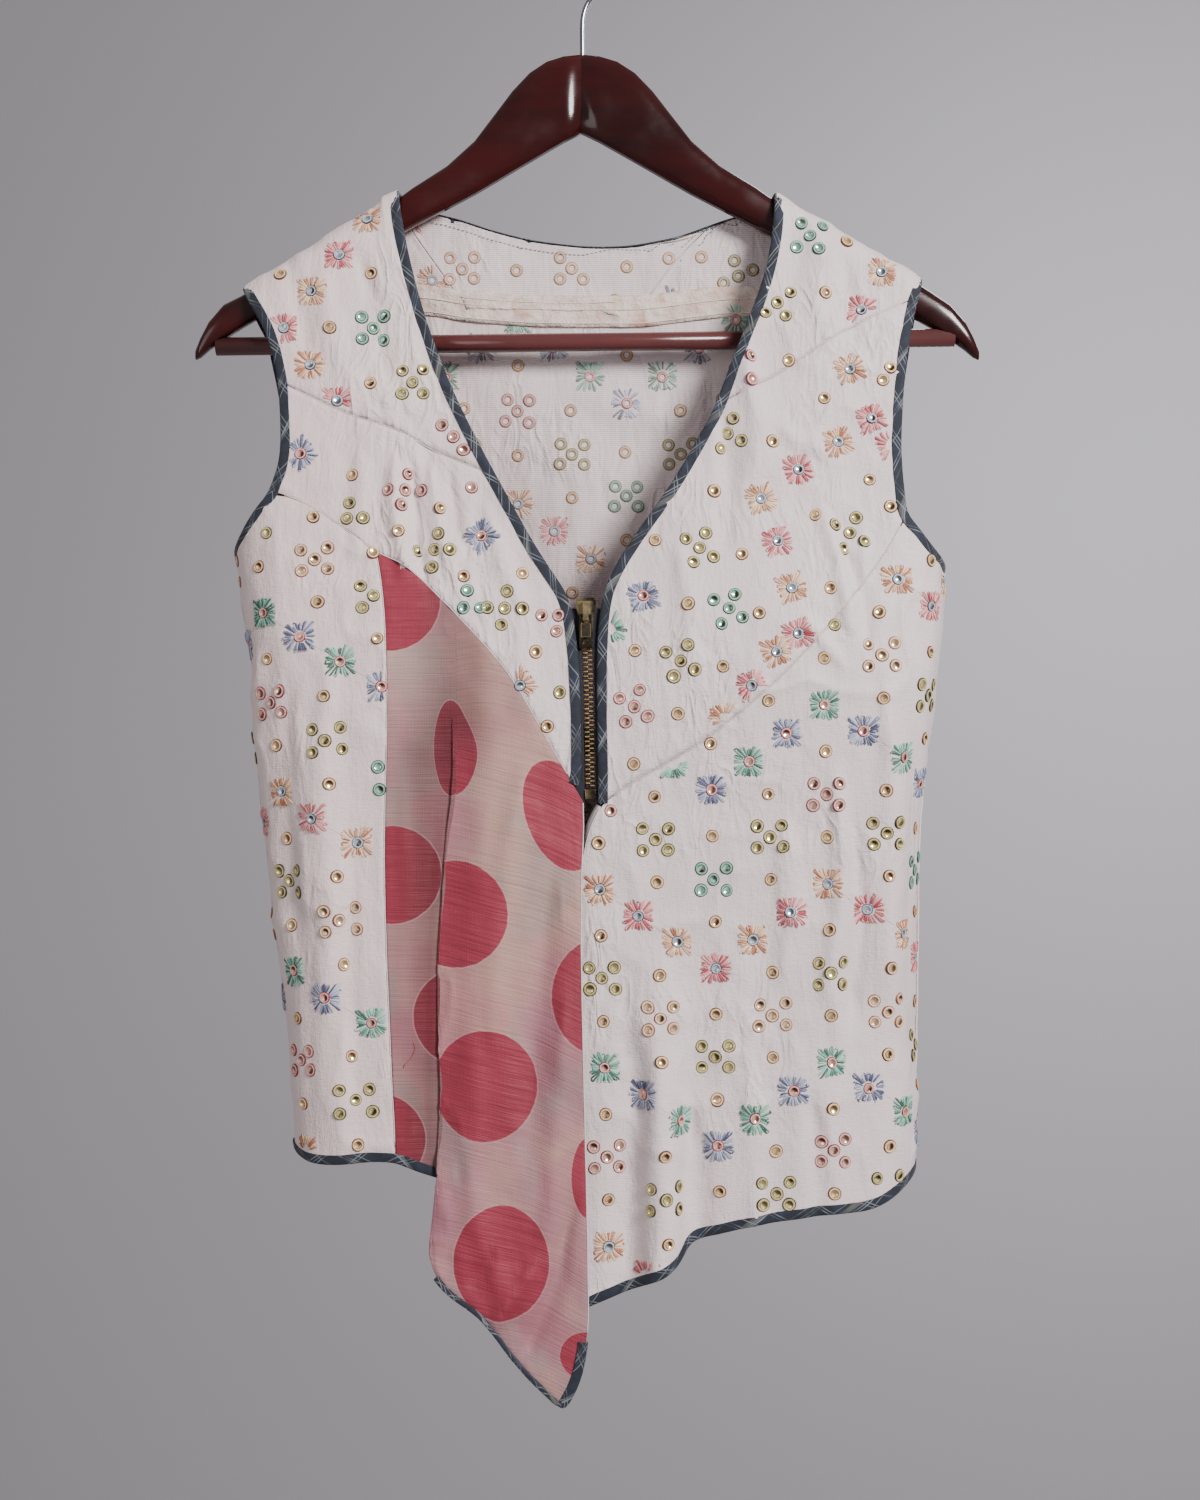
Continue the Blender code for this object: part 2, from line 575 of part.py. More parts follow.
def placed(name, data, material):
    obj = bpy.data.objects.new(name, data)
    obj.data.materials.append(material)
    parts.objects.link(obj)
    return obj


# ---------------------------------------------------------------- bindings

def binding(name, runs, material, closed=False, trim=0.0, eased=()):
    """A folded strip round finished edges: runs are (points, normals, points just inside) in turn."""
    line, normals, inside = (
        np.vstack([run[k] if n == 0 else run[k][1:] for n, run in enumerate(runs)]) for k in range(3)
    )
    if closed:
        line, normals, inside = line[:-1], normals[:-1], inside[:-1]
        before, after = np.roll(line, 1, axis=0), np.roll(line, -1, axis=0)
    else:
        for end, near in ((0, 1), (-1, -2)):
            back_off = unit(line[near] - line[end]) * trim
            line[end] += back_off
            inside[end] += back_off
        before = np.vstack([2 * line[:1] - line[1:2], line[:-1]])
        after = np.vstack([line[1:], 2 * line[-1:] - line[-2:-1]])
    arrive, leave = unit(line - before), unit(after - line)
    along = unit(arrive + leave)
    stretch = 1 / np.clip(np.sum(along * leave, axis=1), 0.55, 1)
    step = inside - line
    inwards = unit(step - along * np.sum(step * along, axis=1, keepdims=True))
    upright = np.cross(inwards, along)
    upright *= np.sign(np.sum(upright * normals, axis=1))[:, None]
    following = np.roll(step, -1, axis=0) if closed else np.vstack([step[1:], step[-1:]])
    twist = np.abs(np.sum((following - step) * upright, axis=1))
    twist = np.maximum(twist, np.roll(twist, 1) if closed else np.append(0, twist[:-1]))
    slot = SLOT_CLEARANCE + TWIST_EASE * twist
    for x, y, z, more, reach in eased:
        slot += more * np.exp(-(np.linalg.norm(line - (x, y, z), axis=1) / reach) ** 2)
    rings = [
        [p + i * (s * a) + n * q for s, q in binding_section(air)]
        for p, n, i, a, air in zip(line, upright, inwards, stretch, slot)
    ]
    return loft(name, rings, material, closed)


def binding_section(air):
    """How far in from the edge, and how far off the cloth's outer face, a folded strip's corners lie."""
    wide, wall = BINDING_WIDTH, BINDING_WALL
    return (
        (wide, air), (wide - 0.7, air + wall), (1.1, air + wall + 0.1), (0.0, -WALL / 2),
        (1.1, -WALL - air - wall - 0.1), (wide - 0.7, -WALL - air - wall), (wide, -WALL - air),
        (wall, -WALL - air), (wall, air),
    )


def loft(name, rings, material, closed=False):
    """A skin through rings of matching points, closed in a loop or by a cap at each end."""
    bm = bmesh.new()
    made = [[bm.verts.new(np.asarray(p) * MM) for p in ring] for ring in rings]
    pairs = list(zip(made, made[1:] + made[:1])) if closed else list(zip(made, made[1:]))
    for a, b in pairs:
        for k in range(len(a)):
            m = (k + 1) % len(a)
            bm.faces.new((a[k], a[m], b[m], b[k]))
    if not closed:
        bm.faces.new(made[0])
        bm.faces.new(made[-1][::-1])
    return finished(name, bm, material)


# ---------------------------------------------------------------- the pieces of cloth

def shoulder_point(x):
    return (x, float(shoulder_z(x)))


def front_right_panels():
    tip, neck = shoulder_point(RIGHT_TIP_X), shoulder_point(RIGHT_NECK_X)
    yoke_seam = sampled(YOKE_SEAM_RIGHT, YOKE_RIGHT_CELLS)
    yoke = coons(
        sampled((tip, neck), YOKE_RIGHT_CELLS),
        yoke_seam,
        sampled((tip,) + ARM_RIGHT, ARM_ROWS_RIGHT),
        sampled((neck,) + NECK_RIGHT, NECK_ROWS),
    )
    side_front = sampled(SIDE_FRONT_SEAM, SIDE_FRONT_CELLS)
    drape = drape_grid()
    bust_rows = NECK_LOW_CELLS + ZIP_CELLS
    bust = coons(
        halved(yoke_seam),
        joined(side_front, drape[0, :, [0, 2]].T),
        sampled(ARM_RIGHT_LOW, bust_rows),
        joined(sampled(NECK_RIGHT_LOW, NECK_LOW_CELLS), sampled(ZIP_RIGHT, ZIP_CELLS)),
    )
    underarm = sampled(ARM_RIGHT_UNDER, UNDERARM_RIGHT_CELLS)[::-1]
    side = coons(
        joined(underarm, side_front),
        sampled(HEM_RIGHT, HEM_RIGHT_SHARES),
        side_line(right_side, ARM_RIGHT_UNDER[-1][1], HEM_RIGHT[0][1]),
        sampled(PANEL_SEAM, SIDE_ROWS),
    )
    return (
        Panel(*lifted(yoke, FRONT)),
        Panel(*lifted(bust, FRONT)),
        Panel(*lifted(side, FRONT)),
        drape_panel(drape),
    )


def side_line(side, top, foot):
    z = top + np.array(SIDE_ROWS) * (foot - top)
    return np.stack([side(z), z], axis=1)


def drape_section(z, share):
    """x, and how far the cloth stands in front of the form, along one level of the spotted panel."""
    seam_x = float(hermite([(b, a) for a, b in catmull(PANEL_SEAM)[::6]], 1)(z))
    fold_x, lap, deep = (float(hermite(FOLD_ROWS, i)(z)) for i in (1, 2, 3))
    edge_x, edge_out = (float(hermite(DRAPE_EDGE_ROWS, i)(z)) for i in (1, 2))
    inner_x = fold_x + lap
    knots = (
        (seam_x, 0.0),
        ((seam_x + inner_x - 7) / 2, 0.0),
        (inner_x - 7, -2.2 * deep),
        (inner_x, -1.2 * deep),
        ((inner_x + fold_x) / 2, 1.2 * deep),
        (fold_x, 4.4 * deep),
        (fold_x + 7, 8.0 * deep),
        (fold_x + 0.45 * (edge_x - fold_x), 6.0 * deep),
        (edge_x, edge_out),
    )
    table = [(i, x, out) for i, (x, out) in enumerate(knots)]
    return float(hermite(table, 1)(share)), float(hermite(table, 2)(share))


def drape_grid():
    """x, stand-off and z of the spotted panel, with its deep fold, rows down and columns across."""
    diagonal = catmull(DIAGONAL_SEAM)
    columns = len(DRAPE_COLUMNS)
    tops = []
    for share in DRAPE_COLUMNS:
        x = -60.0
        for _ in range(30):
            z = float(np.interp(x, diagonal[:, 0], diagonal[:, 1]))
            x = 0.5 * x + 0.5 * drape_section(z, share)[0]
        tops.append((x, float(np.interp(x, diagonal[:, 0], diagonal[:, 1]))))
    tops[0], tops[-1] = DIAGONAL_SEAM[0], DIAGONAL_SEAM[-1]
    flap_cells = columns - 1 - OUTER_TURN
    flap = joined(sampled(DRAPE_HEM, flap_cells - 2), sampled(DRAPE_TIP, 2))
    strip_hem = hermite(STRIP_HEM_ROWS, 1)
    feet = []
    for j, share in enumerate(DRAPE_COLUMNS):
        if j <= INNER_TURN:
            x = drape_section(-712.0, share)[0]
            feet.append((x, float(strip_hem(x))))
        elif j < OUTER_TURN:
            down = (j - INNER_TURN) / (OUTER_TURN - INNER_TURN)
            z = feet[INNER_TURN][1] * (1 - down) + (DRAPE_HEM[0][1] + 6) * down
            feet.append((drape_section(z, share)[0], z))
        else:
            feet.append(tuple(flap[j - OUTER_TURN]))
    seam = sampled(PANEL_SEAM, SIDE_ROWS)
    levels = (seam[:, 1] - seam[0, 1]) / (seam[-1, 1] - seam[0, 1])
    grid = np.zeros((len(levels), columns, 3))
    for j, share in enumerate(DRAPE_COLUMNS):
        top_slip = tops[j][0] - drape_section(tops[j][1], share)[0]
        foot_slip = feet[j][0] - drape_section(feet[j][1], share)[0]
        for i, level in enumerate(levels):
            z = tops[j][1] + level * (feet[j][1] - tops[j][1])
            x, out = drape_section(z, share)
            x += top_slip * (1 - level) ** 3 + foot_slip * level ** 3
            grid[i, j] = (x, out * min(1.0, level * 6), z)
    grid[:, 0, 0], grid[:, 0, 2] = seam[:, 0], seam[:, 1]
    return grid


def drape_panel(grid):
    flat = grid[:, :, [0, 2]]
    points, form_normals = lifted(flat, FRONT)
    points[:, :, 1] -= grid[:, :, 1]
    down = np.gradient(points, axis=0)
    across = np.gradient(points, axis=1)
    normals = unit(np.cross(down, across))
    if normals[0, 0, 1] > 0:
        normals = -normals
    normals[0], normals[:, 0] = form_normals[0], form_normals[:, 0]
    return Panel(points, normals)


def front_left_panels():
    tip, neck = shoulder_point(LEFT_TIP_X), shoulder_point(LEFT_NECK_X)
    yoke_seam = sampled(YOKE_SEAM_LEFT, YOKE_LEFT_CELLS)
    yoke = coons(
        sampled((neck, tip), YOKE_LEFT_CELLS),
        yoke_seam,
        sampled((neck,) + NECK_LEFT, NECK_ROWS),
        sampled((tip,) + ARM_LEFT, ARM_ROWS_LEFT),
    )
    bust_seam = sampled(BUST_SEAM_LEFT, 2 * YOKE_LEFT_CELLS)
    bust = coons(
        halved(yoke_seam),
        bust_seam,
        joined(sampled(NECK_LEFT_LOW, NECK_LOW_CELLS), sampled(ZIP_LEFT, ZIP_CELLS)),
        sampled(ARM_LEFT_LOW, NECK_LOW_CELLS + ZIP_CELLS),
    )
    hem_shares = np.concatenate([np.linspace(0, 0.83, 2 * YOKE_LEFT_CELLS), HEM_LEFT_TURN])
    lower = coons(
        joined(bust_seam, sampled(ARM_LEFT_UNDER, UNDERARM_LEFT_CELLS)),
        sampled(HEM_LEFT, hem_shares),
        sampled(LEFT_FRONT_EDGE, len(SIDE_ROWS) - 1),
        side_line(left_side, ARM_LEFT_UNDER[-1][1], HEM_LEFT[-1][1]),
    )
    return tuple(Panel(*lifted(grid, FRONT)) for grid in (yoke, bust, lower))


def back_panels():
    right_tip, right_neck = shoulder_point(RIGHT_TIP_X), shoulder_point(RIGHT_NECK_X)
    left_tip, left_neck = shoulder_point(LEFT_TIP_X), shoulder_point(LEFT_NECK_X)
    seam_right = sampled(BACK_SEAM_RIGHT, YOKE_RIGHT_CELLS)
    seam_middle = sampled(BACK_SEAM_MIDDLE, BACK_NECK_CELLS)
    seam_left = sampled(BACK_SEAM_LEFT, YOKE_LEFT_CELLS + BACK_NECK_LEFT_CELLS)
    diagonal_right = sampled((right_neck,) + BACK_DIAGONAL_RIGHT, BACK_YOKE_ROWS)
    diagonal_left = sampled(BACK_DIAGONAL_LEFT, BACK_YOKE_ROWS)
    shoulder_right = coons(
        sampled((right_tip, right_neck), YOKE_RIGHT_CELLS),
        seam_right,
        sampled((right_tip,) + BACK_ARM_RIGHT, BACK_YOKE_ROWS),
        diagonal_right,
    )
    middle = coons(
        sampled((right_neck,) + BACK_NECK, BACK_NECK_SHARES), seam_middle, diagonal_right, diagonal_left
    )
    shoulder_left = coons(
        joined(
            sampled(BACK_NECK_LEFT + (left_neck,), BACK_NECK_LEFT_SHARES),
            sampled((left_neck, left_tip), YOKE_LEFT_CELLS),
        ),
        seam_left,
        diagonal_left,
        sampled((left_tip,) + BACK_ARM_LEFT, BACK_YOKE_ROWS),
    )
    seam = joined(seam_right, seam_middle, seam_left)
    hem_cells = len(seam) - 1
    turn = np.array(HEM_BACK_TURN)
    level = np.linspace(turn[-1], 1 - turn[-1], hem_cells + 3 - 2 * len(turn))
    shares = np.concatenate([turn[:-1], level, 1 - turn[-2::-1]])
    lower = coons(
        seam,
        sampled(HEM_BACK, shares),
        joined(
            sampled(BACK_ARM_RIGHT_LOW, BACK_ARM_ROWS),
            side_line(right_side, ARM_RIGHT_UNDER[-1][1], HEM_RIGHT[0][1]),
        ),
        joined(
            sampled(BACK_ARM_LEFT_LOW, BACK_ARM_ROWS),
            side_line(left_side, ARM_LEFT_UNDER[-1][1], HEM_LEFT[-1][1]),
        ),
    )
    return tuple(Panel(*lifted(grid, BACK)) for grid in (shoulder_right, middle, shoulder_left, lower))


def edge_widths(cells, bound_first=0, bound_last=0):
    """Margins along an edge: a binding's at its bound cells and a seam's elsewhere."""
    widths = np.full(cells + 1, SEAM_GAP / 2)
    if bound_first:
        widths[:bound_first + 1] = BINDING_EDGE
    if bound_last:
        widths[cells - bound_last:] = BINDING_EDGE
    return widths


def make_waistcoat():
    cream = finish("embroidered_cloth", (0.72, 0.66, 0.64), 0.55)
    spotted = finish("spotted_cloth", (0.70, 0.44, 0.46), 0.6)
    denim = finish("binding_cloth", (0.09, 0.12, 0.18), 0.8)
    yoke_right, bust_right, side_right, drape = front_right_panels()
    yoke_left, bust_left, lower_left = front_left_panels()
    back_right, back_middle, back_left, back = back_panels()
    bound = BINDING_EDGE
    for panel, edges in (
        (yoke_right, ("right", "left")),
        (bust_right, ("right", "left")),
        (yoke_left, ("right", "left")),
        (bust_left, ("right", "left")),
        (side_right, ("bottom",)),
        (lower_left, ("bottom",)),
    ):
        for edge in edges:
            panel.band(edge, FRONT)
    side_right.band("top", FRONT, 0, UNDERARM_RIGHT_CELLS - 1)
    lower_left.band("top", FRONT, 2 * YOKE_LEFT_CELLS + 1)
    back_right.band("right", BACK)
    back_middle.band("top", BACK, narrow=NECK_TURN_CELLS)
    back_left.band("left", BACK)
    back_left.band("top", BACK, 0, BACK_NECK_LEFT_CELLS)
    back.band("bottom", BACK)
    back.band("right", BACK, 0, BACK_ARM_CELLS)
    back.band("left", BACK, 0, BACK_ARM_CELLS)

    sheet("front_yoke_right", yoke_right, cream, right=bound, left=bound)
    sheet("front_bust_right", bust_right, cream, right=bound, left=bound)
    sheet(
        "side_panel_right", side_right, cream, bottom=bound,
        top=edge_widths(UNDERARM_RIGHT_CELLS + SIDE_FRONT_CELLS, bound_first=UNDERARM_RIGHT_CELLS),
    )
    hem = np.full(len(DRAPE_COLUMNS), bound)
    sheet("drape_panel", drape, spotted, bottom=hem)
    sheet("front_yoke_left", yoke_left, cream, right=bound, left=bound)
    sheet("front_bust_left", bust_left, cream, right=bound, left=bound)
    sheet(
        "front_lower_left", lower_left, cream, bottom=bound,
        top=edge_widths(2 * YOKE_LEFT_CELLS + UNDERARM_LEFT_CELLS, bound_last=UNDERARM_LEFT_CELLS),
    )
    sheet(
        "back_shoulder_right", back_right, cream, right=bound,
        left=edge_widths(len(BACK_YOKE_ROWS) - 1, bound_first=1),
    )
    sheet("back_yoke", back_middle, cream, top=bound)
    sheet(
        "back_shoulder_left", back_left, cream, left=bound,
        top=edge_widths(BACK_NECK_LEFT_CELLS + YOKE_LEFT_CELLS, bound_first=BACK_NECK_LEFT_CELLS),
    )
    side_widths = edge_widths(BACK_ARM_CELLS + len(SIDE_ROWS) - 1, bound_first=BACK_ARM_CELLS)
    sheet("back_panel", back, cream, bottom=bound, right=side_widths, left=side_widths)

    def backwards(run):
        return tuple(part[::-1] for part in run)

    binding(
        "neck_binding",
        (
            backwards(bust_right.edge("left")),
            backwards(yoke_right.edge("left")),
            back_middle.edge("top"),
            back_left.edge("top", 0, BACK_NECK_LEFT_CELLS),
            yoke_left.edge("right"),
            bust_left.edge("right"),
        ),
        denim,
        trim=NECK_END_TRIM,
        eased=NECK_EASE,
    )
    binding(
        "armhole_binding_right",
        (
            yoke_right.edge("right"),
            bust_right.edge("right"),
            backwards(side_right.edge("top", 0, UNDERARM_RIGHT_CELLS)),
            backwards(back.edge("right", 0, BACK_ARM_CELLS)),
            backwards(back_right.edge("right")),
        ),
        denim,
        closed=True,
        eased=ARM_RIGHT_EASE,
    )
    binding(
        "armhole_binding_left",
        (
            yoke_left.edge("left"),
            bust_left.edge("left"),
            lower_left.edge("top", 2 * YOKE_LEFT_CELLS),
            backwards(back.edge("left", 0, BACK_ARM_CELLS)),
            backwards(back_left.edge("left")),
        ),
        denim,
        closed=True,
        eased=ARM_LEFT_EASE,
    )
    right_hem = (side_right.edge("bottom"), drape.edge("bottom", 0, 4))
    binding("hem_binding_right", right_hem, denim, trim=HEM_END_TRIM)
    binding("hem_binding_drape", (drape.edge("bottom", OUTER_TURN + 1),), denim, trim=HEM_END_TRIM)
    binding("hem_binding_left", (lower_left.edge("bottom"),), denim, trim=HEM_END_TRIM)
    binding("hem_binding_back", (back.edge("bottom"),), denim, trim=HEM_END_TRIM)


# ---------------------------------------------------------------- hanger

def make_hanger():
    wood = finish("hanger_wood", (0.05, 0.012, 0.008), 0.25)
    steel = finish("hook_steel", (0.75, 0.75, 0.76), 0.15, metallic=1.0)
    arms = (("hanger_arm_right", -1, RIGHT_ARM_REACH), ("hanger_arm_left", 1, LEFT_ARM_REACH))
    for name, way, reach in arms:
        rings = []
        for out, top, underside, half in ARM_ROWS:
            x = MITRE_X + way * (MITRE_GAP / 2 + out * reach)
            if REST_FROM < abs(x) < REST_TO:
                top = float(shoulder_z(x)) - CLOTH_REST
                top -= sum(BINDING_DIP * math.exp(-((abs(x) - at) / DIP_REACH) ** 2) for at in BINDING_AT)
            middle, tall = (top + underside) / 2, (top - underside) / 2
            ring = []
            for k in range(ARM_CORNERS):
                angle = 2 * math.pi * (k + 0.5) / ARM_CORNERS
                c, s = math.cos(angle), math.sin(angle)
                ring.append((x, half * math.copysign(abs(c) ** ARM_ROUND, c), middle + tall_side(s, tall)))
            rings.append(ring)
        arm = loft(name, rings, wood)
        cut(arm, cylinder("hook_bore_" + name, HOOK_BORE, (0, 0, -87.0), (0, 0, -50.0)))
        ends = stretched(BAR_RIGHT_END, BAR_LEFT_END, BAR_SOCKET)
        cut(arm, cylinder("bar_socket_" + name, BAR_RADIUS + BAR_SOCKET, *ends))
    bar_ends = ((BAR_RIGHT_END[0], 0, BAR_RIGHT_END[1]), (BAR_LEFT_END[0], 0, BAR_LEFT_END[1]))
    bar = cylinder("hanger_bar", BAR_RADIUS, *bar_ends)
    solid(bar, wood)
    make_hook(steel)


def tall_side(s, tall):
    """Height of a section's point: the ends of the oval are squarer than a circle's."""
    return tall * math.copysign(abs(s) ** 0.6, s) / (math.cos(math.pi / ARM_CORNERS) ** 0.6)


def stretched(a, b, by):
    """The two ends of a bar, each pushed out, as places in space."""
    a, b = np.array((a[0], 0, a[1])), np.array((b[0], 0, b[1]))
    way = unit(b - a) * by
    return tuple(a - way), tuple(b + way)


def make_hook(steel):
    angles = [math.radians(a) for a in range(-4, int(HOOK_END_ANGLE) + 1, 18)]
    arc = tuple((HOOK_RADIUS * math.cos(a), HOOK_MIDDLE_Z + HOOK_RADIUS * math.sin(a)) for a in angles)
    line = sampled(HOOK_POINTS + arc, HOOK_CELLS)
    curve = bpy.data.curves.new("hanger_hook", "CURVE")
    curve.dimensions = "3D"
    curve.bevel_depth = HOOK_WIRE * MM
    curve.bevel_resolution = 2
    curve.use_fill_caps = True
    spline = curve.splines.new("POLY")
    spline.points.add(len(line) - 1)
    for point, (x, z) in zip(spline.points, line):
        point.co = (x * MM, 0, z * MM, 1)
    placed("hanger_hook", curve, steel)


# ---------------------------------------------------------------- simple solids and cuts

def cylinder(name, radius, start, end):
    start, end = np.array(start, float), np.array(end, float)
    bm = bmesh.new()
    bmesh.ops.create_cone(
        bm, cap_ends=True, segments=20, radius1=radius * MM, radius2=radius * MM,
        depth=float(np.linalg.norm(end - start)) * MM,
    )
    mesh = bpy.data.meshes.new(name)
    bm.to_mesh(mesh)
    bm.free()
    obj = bpy.data.objects.new(name, mesh)
    obj.rotation_euler = (0, math.atan2(end[0] - start[0], end[2] - start[2]), 0)
    obj.location = (start + end) / 2 * MM
    return obj


def block(name, low, high):
    """A box between two corners, in millimetres."""
    low, high = np.array(low, float), np.array(high, float)
    bm = bmesh.new()
    bmesh.ops.create_cube(bm, size=1)
    for v in bm.verts:
        v.co = ((np.array(v.co) + 0.5) * (high - low) + low) * MM
    mesh = bpy.data.meshes.new(name)
    bm.to_mesh(mesh)
    bm.free()
    return bpy.data.objects.new(name, mesh)


def solid(obj, material):
    obj.data.materials.append(material)
    parts.objects.link(obj)
    return obj


def cut(obj, cutter, operation="DIFFERENCE"):
    """The cutter, hidden and kept among the cutters, as a Boolean of the object."""
    cutters.objects.link(cutter)
    cutter.hide_render = True
    cutter.display_type = "WIRE"
    modifier = obj.modifiers.new(cutter.name, "BOOLEAN")
    modifier.operation = operation
    modifier.object = cutter
    modifier.solver = "EXACT"


# ---------------------------------------------------------------- zip

def zip_middle(z):
    """x of the zip's middle at a height, halfway between the two bound edges."""
    right = catmull(ZIP_RIGHT)
    left = catmull(ZIP_LEFT)
    at_right = np.interp(z, right[::-1, 1], right[::-1, 0])
    at_left = np.interp(z, left[::-1, 1], left[::-1, 0])
    return float(at_right + at_left) / 2


def zip_y(z):
    """y of the tape's middle at a height, behind the front's outer face."""
    return float(depth(zip_middle(z), z, FRONT)) + TAPE_BEHIND


def upright_strip(name, rows, material):
    """A strip that stands along the zip: rows are z, low x, high x, half thickness, y."""
    rings = [
        [(a, y - half, z), (b, y - half, z), (b, y + half, z), (a, y + half, z)]
        for z, a, b, half, y in rows
    ]
    return loft(name, rings, material)


def make_zip():
    brass = finish("zip_brass", (0.20, 0.15, 0.08), 0.4, metallic=1.0)
    tape = finish("zip_tape", (0.01, 0.01, 0.012), 0.9)
    heights = np.linspace(ZIP_TOP_Z - 6, TAPE_FOOT_Z, 6)
    for name, way in (("zip_tape_right", -1), ("zip_tape_left", 1)):
        rows = []
        for z in heights:
            near = zip_middle(z) + way * (CHAIN_HALF + SEAM_GAP)
            far = zip_middle(z) + way * TAPE_REACH
            rows.append((z, min(near, far), max(near, far), TAPE_THICK / 2, zip_y(z)))
        upright_strip(name, rows, tape)
    chain = []
    for z in np.linspace(CHAIN_TOP_Z, CHAIN_FOOT_Z, 6):
        x = zip_middle(z)
        chain.append((z, x - CHAIN_HALF, x + CHAIN_HALF, CHAIN_THICK / 2, zip_y(z)))
    upright_strip("zip_chain", chain, brass)
    stop_z = CHAIN_FOOT_Z - SEAM_GAP
    stop = []
    for z in (stop_z, stop_z - STOP_HEIGHT):
        x = zip_middle(z)
        stop.append((z, x - CHAIN_HALF, x + CHAIN_HALF, CHAIN_THICK / 2 + 0.5, zip_y(z)))
    upright_strip("zip_bottom_stop", stop, brass)
    make_slider(brass)


def make_slider(brass):
    """Two plates joined by a post between the tapes, with a crown that holds the pull tab."""
    middle = zip_middle(PIVOT_Z)
    y = zip_y(PIVOT_Z)
    gap = CHAIN_THICK / 2 + SEAM_GAP
    front = -(gap + SLIDER_WALL)
    plates = []
    for low, high in ((front, -gap), (gap, gap + SLIDER_WALL)):
        rings = []
        for z, w in SLIDER_OUTLINE:
            right, left = middle - w, middle + w
            rings.append([(right, y + low, z), (left, y + low, z), (left, y + high, z), (right, y + high, z)])
        plates.append(rings)
    slider = loft("zip_slider", plates[0], brass)
    back = loft("slider_back_plate", plates[1], brass)
    parts.objects.unlink(back)
    cut(slider, back, "UNION")
    half, top, foot = NECK_POST
    post = block(
        "slider_post", (middle - half, y - gap - 0.5, foot), (middle + half, y + gap + 0.5, top)
    )
    cut(slider, post, "UNION")
    face = y + front
    crown = block(
        "slider_crown", (middle - CROWN_HALF, face - CROWN_RISE, CROWN_FOOT_Z),
        (middle + CROWN_HALF, face + 0.4, CROWN_TOP_Z),
    )
    cut(slider, crown, "UNION")
    tunnel = block(
        "crown_tunnel", (middle - 5, face - CROWN_RISE + CROWN_WALL, CROWN_FOOT_Z + CROWN_WALL),
        (middle + 5, face - 0.01, CROWN_TOP_Z - CROWN_WALL),
    )
    cut(slider, tunnel)
    make_tab(brass, middle, face - (CROWN_RISE - CROWN_WALL) / 2)


def make_tab(brass, x, y):
    """The pull tab, about its own pivot: a frame whose top bar lies in the crown."""
    half = TAB_THICK / 2
    tab = block("zip_pull_tab", (-TAB_HALF, -half, -TAB_LENGTH), (TAB_HALF, half, TAB_TOP))
    tab.location = (x * MM, y * MM, PIVOT_Z * MM)
    solid(tab, brass)
    hole_half, hole_foot = TAB_HOLE
    hole = block("tab_hole", (-hole_half, -5, -hole_foot), (hole_half, 5, -TAB_BAR))
    window_half, window_top, window_foot = TAB_WINDOW
    window = block("tab_window", (-window_half, -5, -window_foot), (window_half, 5, -window_top))
    for cutter in (hole, window):
        cutter.location = tab.location
        cut(tab, cutter)


# ---------------------------------------------------------------- finishes and the scene

def finish(name, colour, roughness, metallic=0.0):
    material = bpy.data.materials.new(name)
    material.use_nodes = True
    shader = material.node_tree.nodes["Principled BSDF"]
    shader.inputs["Base Color"].default_value = (*colour, 1)
    shader.inputs["Roughness"].default_value = roughness
    shader.inputs["Metallic"].default_value = metallic
    return material


def new_collection(name):
    made = bpy.data.collections.new(name)
    bpy.context.scene.collection.children.link(made)
    return made


for old in list(bpy.data.objects):
    bpy.data.objects.remove(old, do_unlink=True)
parts = new_collection("embroidered_waistcoat")
cutters = new_collection("cutters")
cutters.hide_render = True
make_waistcoat()
make_hanger()
make_zip()
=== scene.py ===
import math

import bmesh
import bpy
import numpy as np
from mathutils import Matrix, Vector
from mathutils.bvhtree import BVHTree
from mathutils.kdtree import KDTree


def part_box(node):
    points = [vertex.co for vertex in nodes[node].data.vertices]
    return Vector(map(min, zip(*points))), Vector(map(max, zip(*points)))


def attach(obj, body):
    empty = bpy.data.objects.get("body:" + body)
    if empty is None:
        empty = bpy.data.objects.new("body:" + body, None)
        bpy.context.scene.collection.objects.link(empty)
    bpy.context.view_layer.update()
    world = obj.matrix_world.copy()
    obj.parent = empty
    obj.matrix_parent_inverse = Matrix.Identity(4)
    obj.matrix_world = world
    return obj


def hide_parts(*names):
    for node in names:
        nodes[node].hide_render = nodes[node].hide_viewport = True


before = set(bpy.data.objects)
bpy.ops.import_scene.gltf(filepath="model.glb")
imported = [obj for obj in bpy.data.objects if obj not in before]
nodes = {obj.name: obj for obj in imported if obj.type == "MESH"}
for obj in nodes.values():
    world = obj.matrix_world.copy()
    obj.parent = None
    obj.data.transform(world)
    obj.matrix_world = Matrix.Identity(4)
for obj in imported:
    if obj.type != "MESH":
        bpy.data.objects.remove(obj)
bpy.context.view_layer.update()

mm = 0.001
print("frame loaded:", len(nodes), "solids")


# light, stage and camera

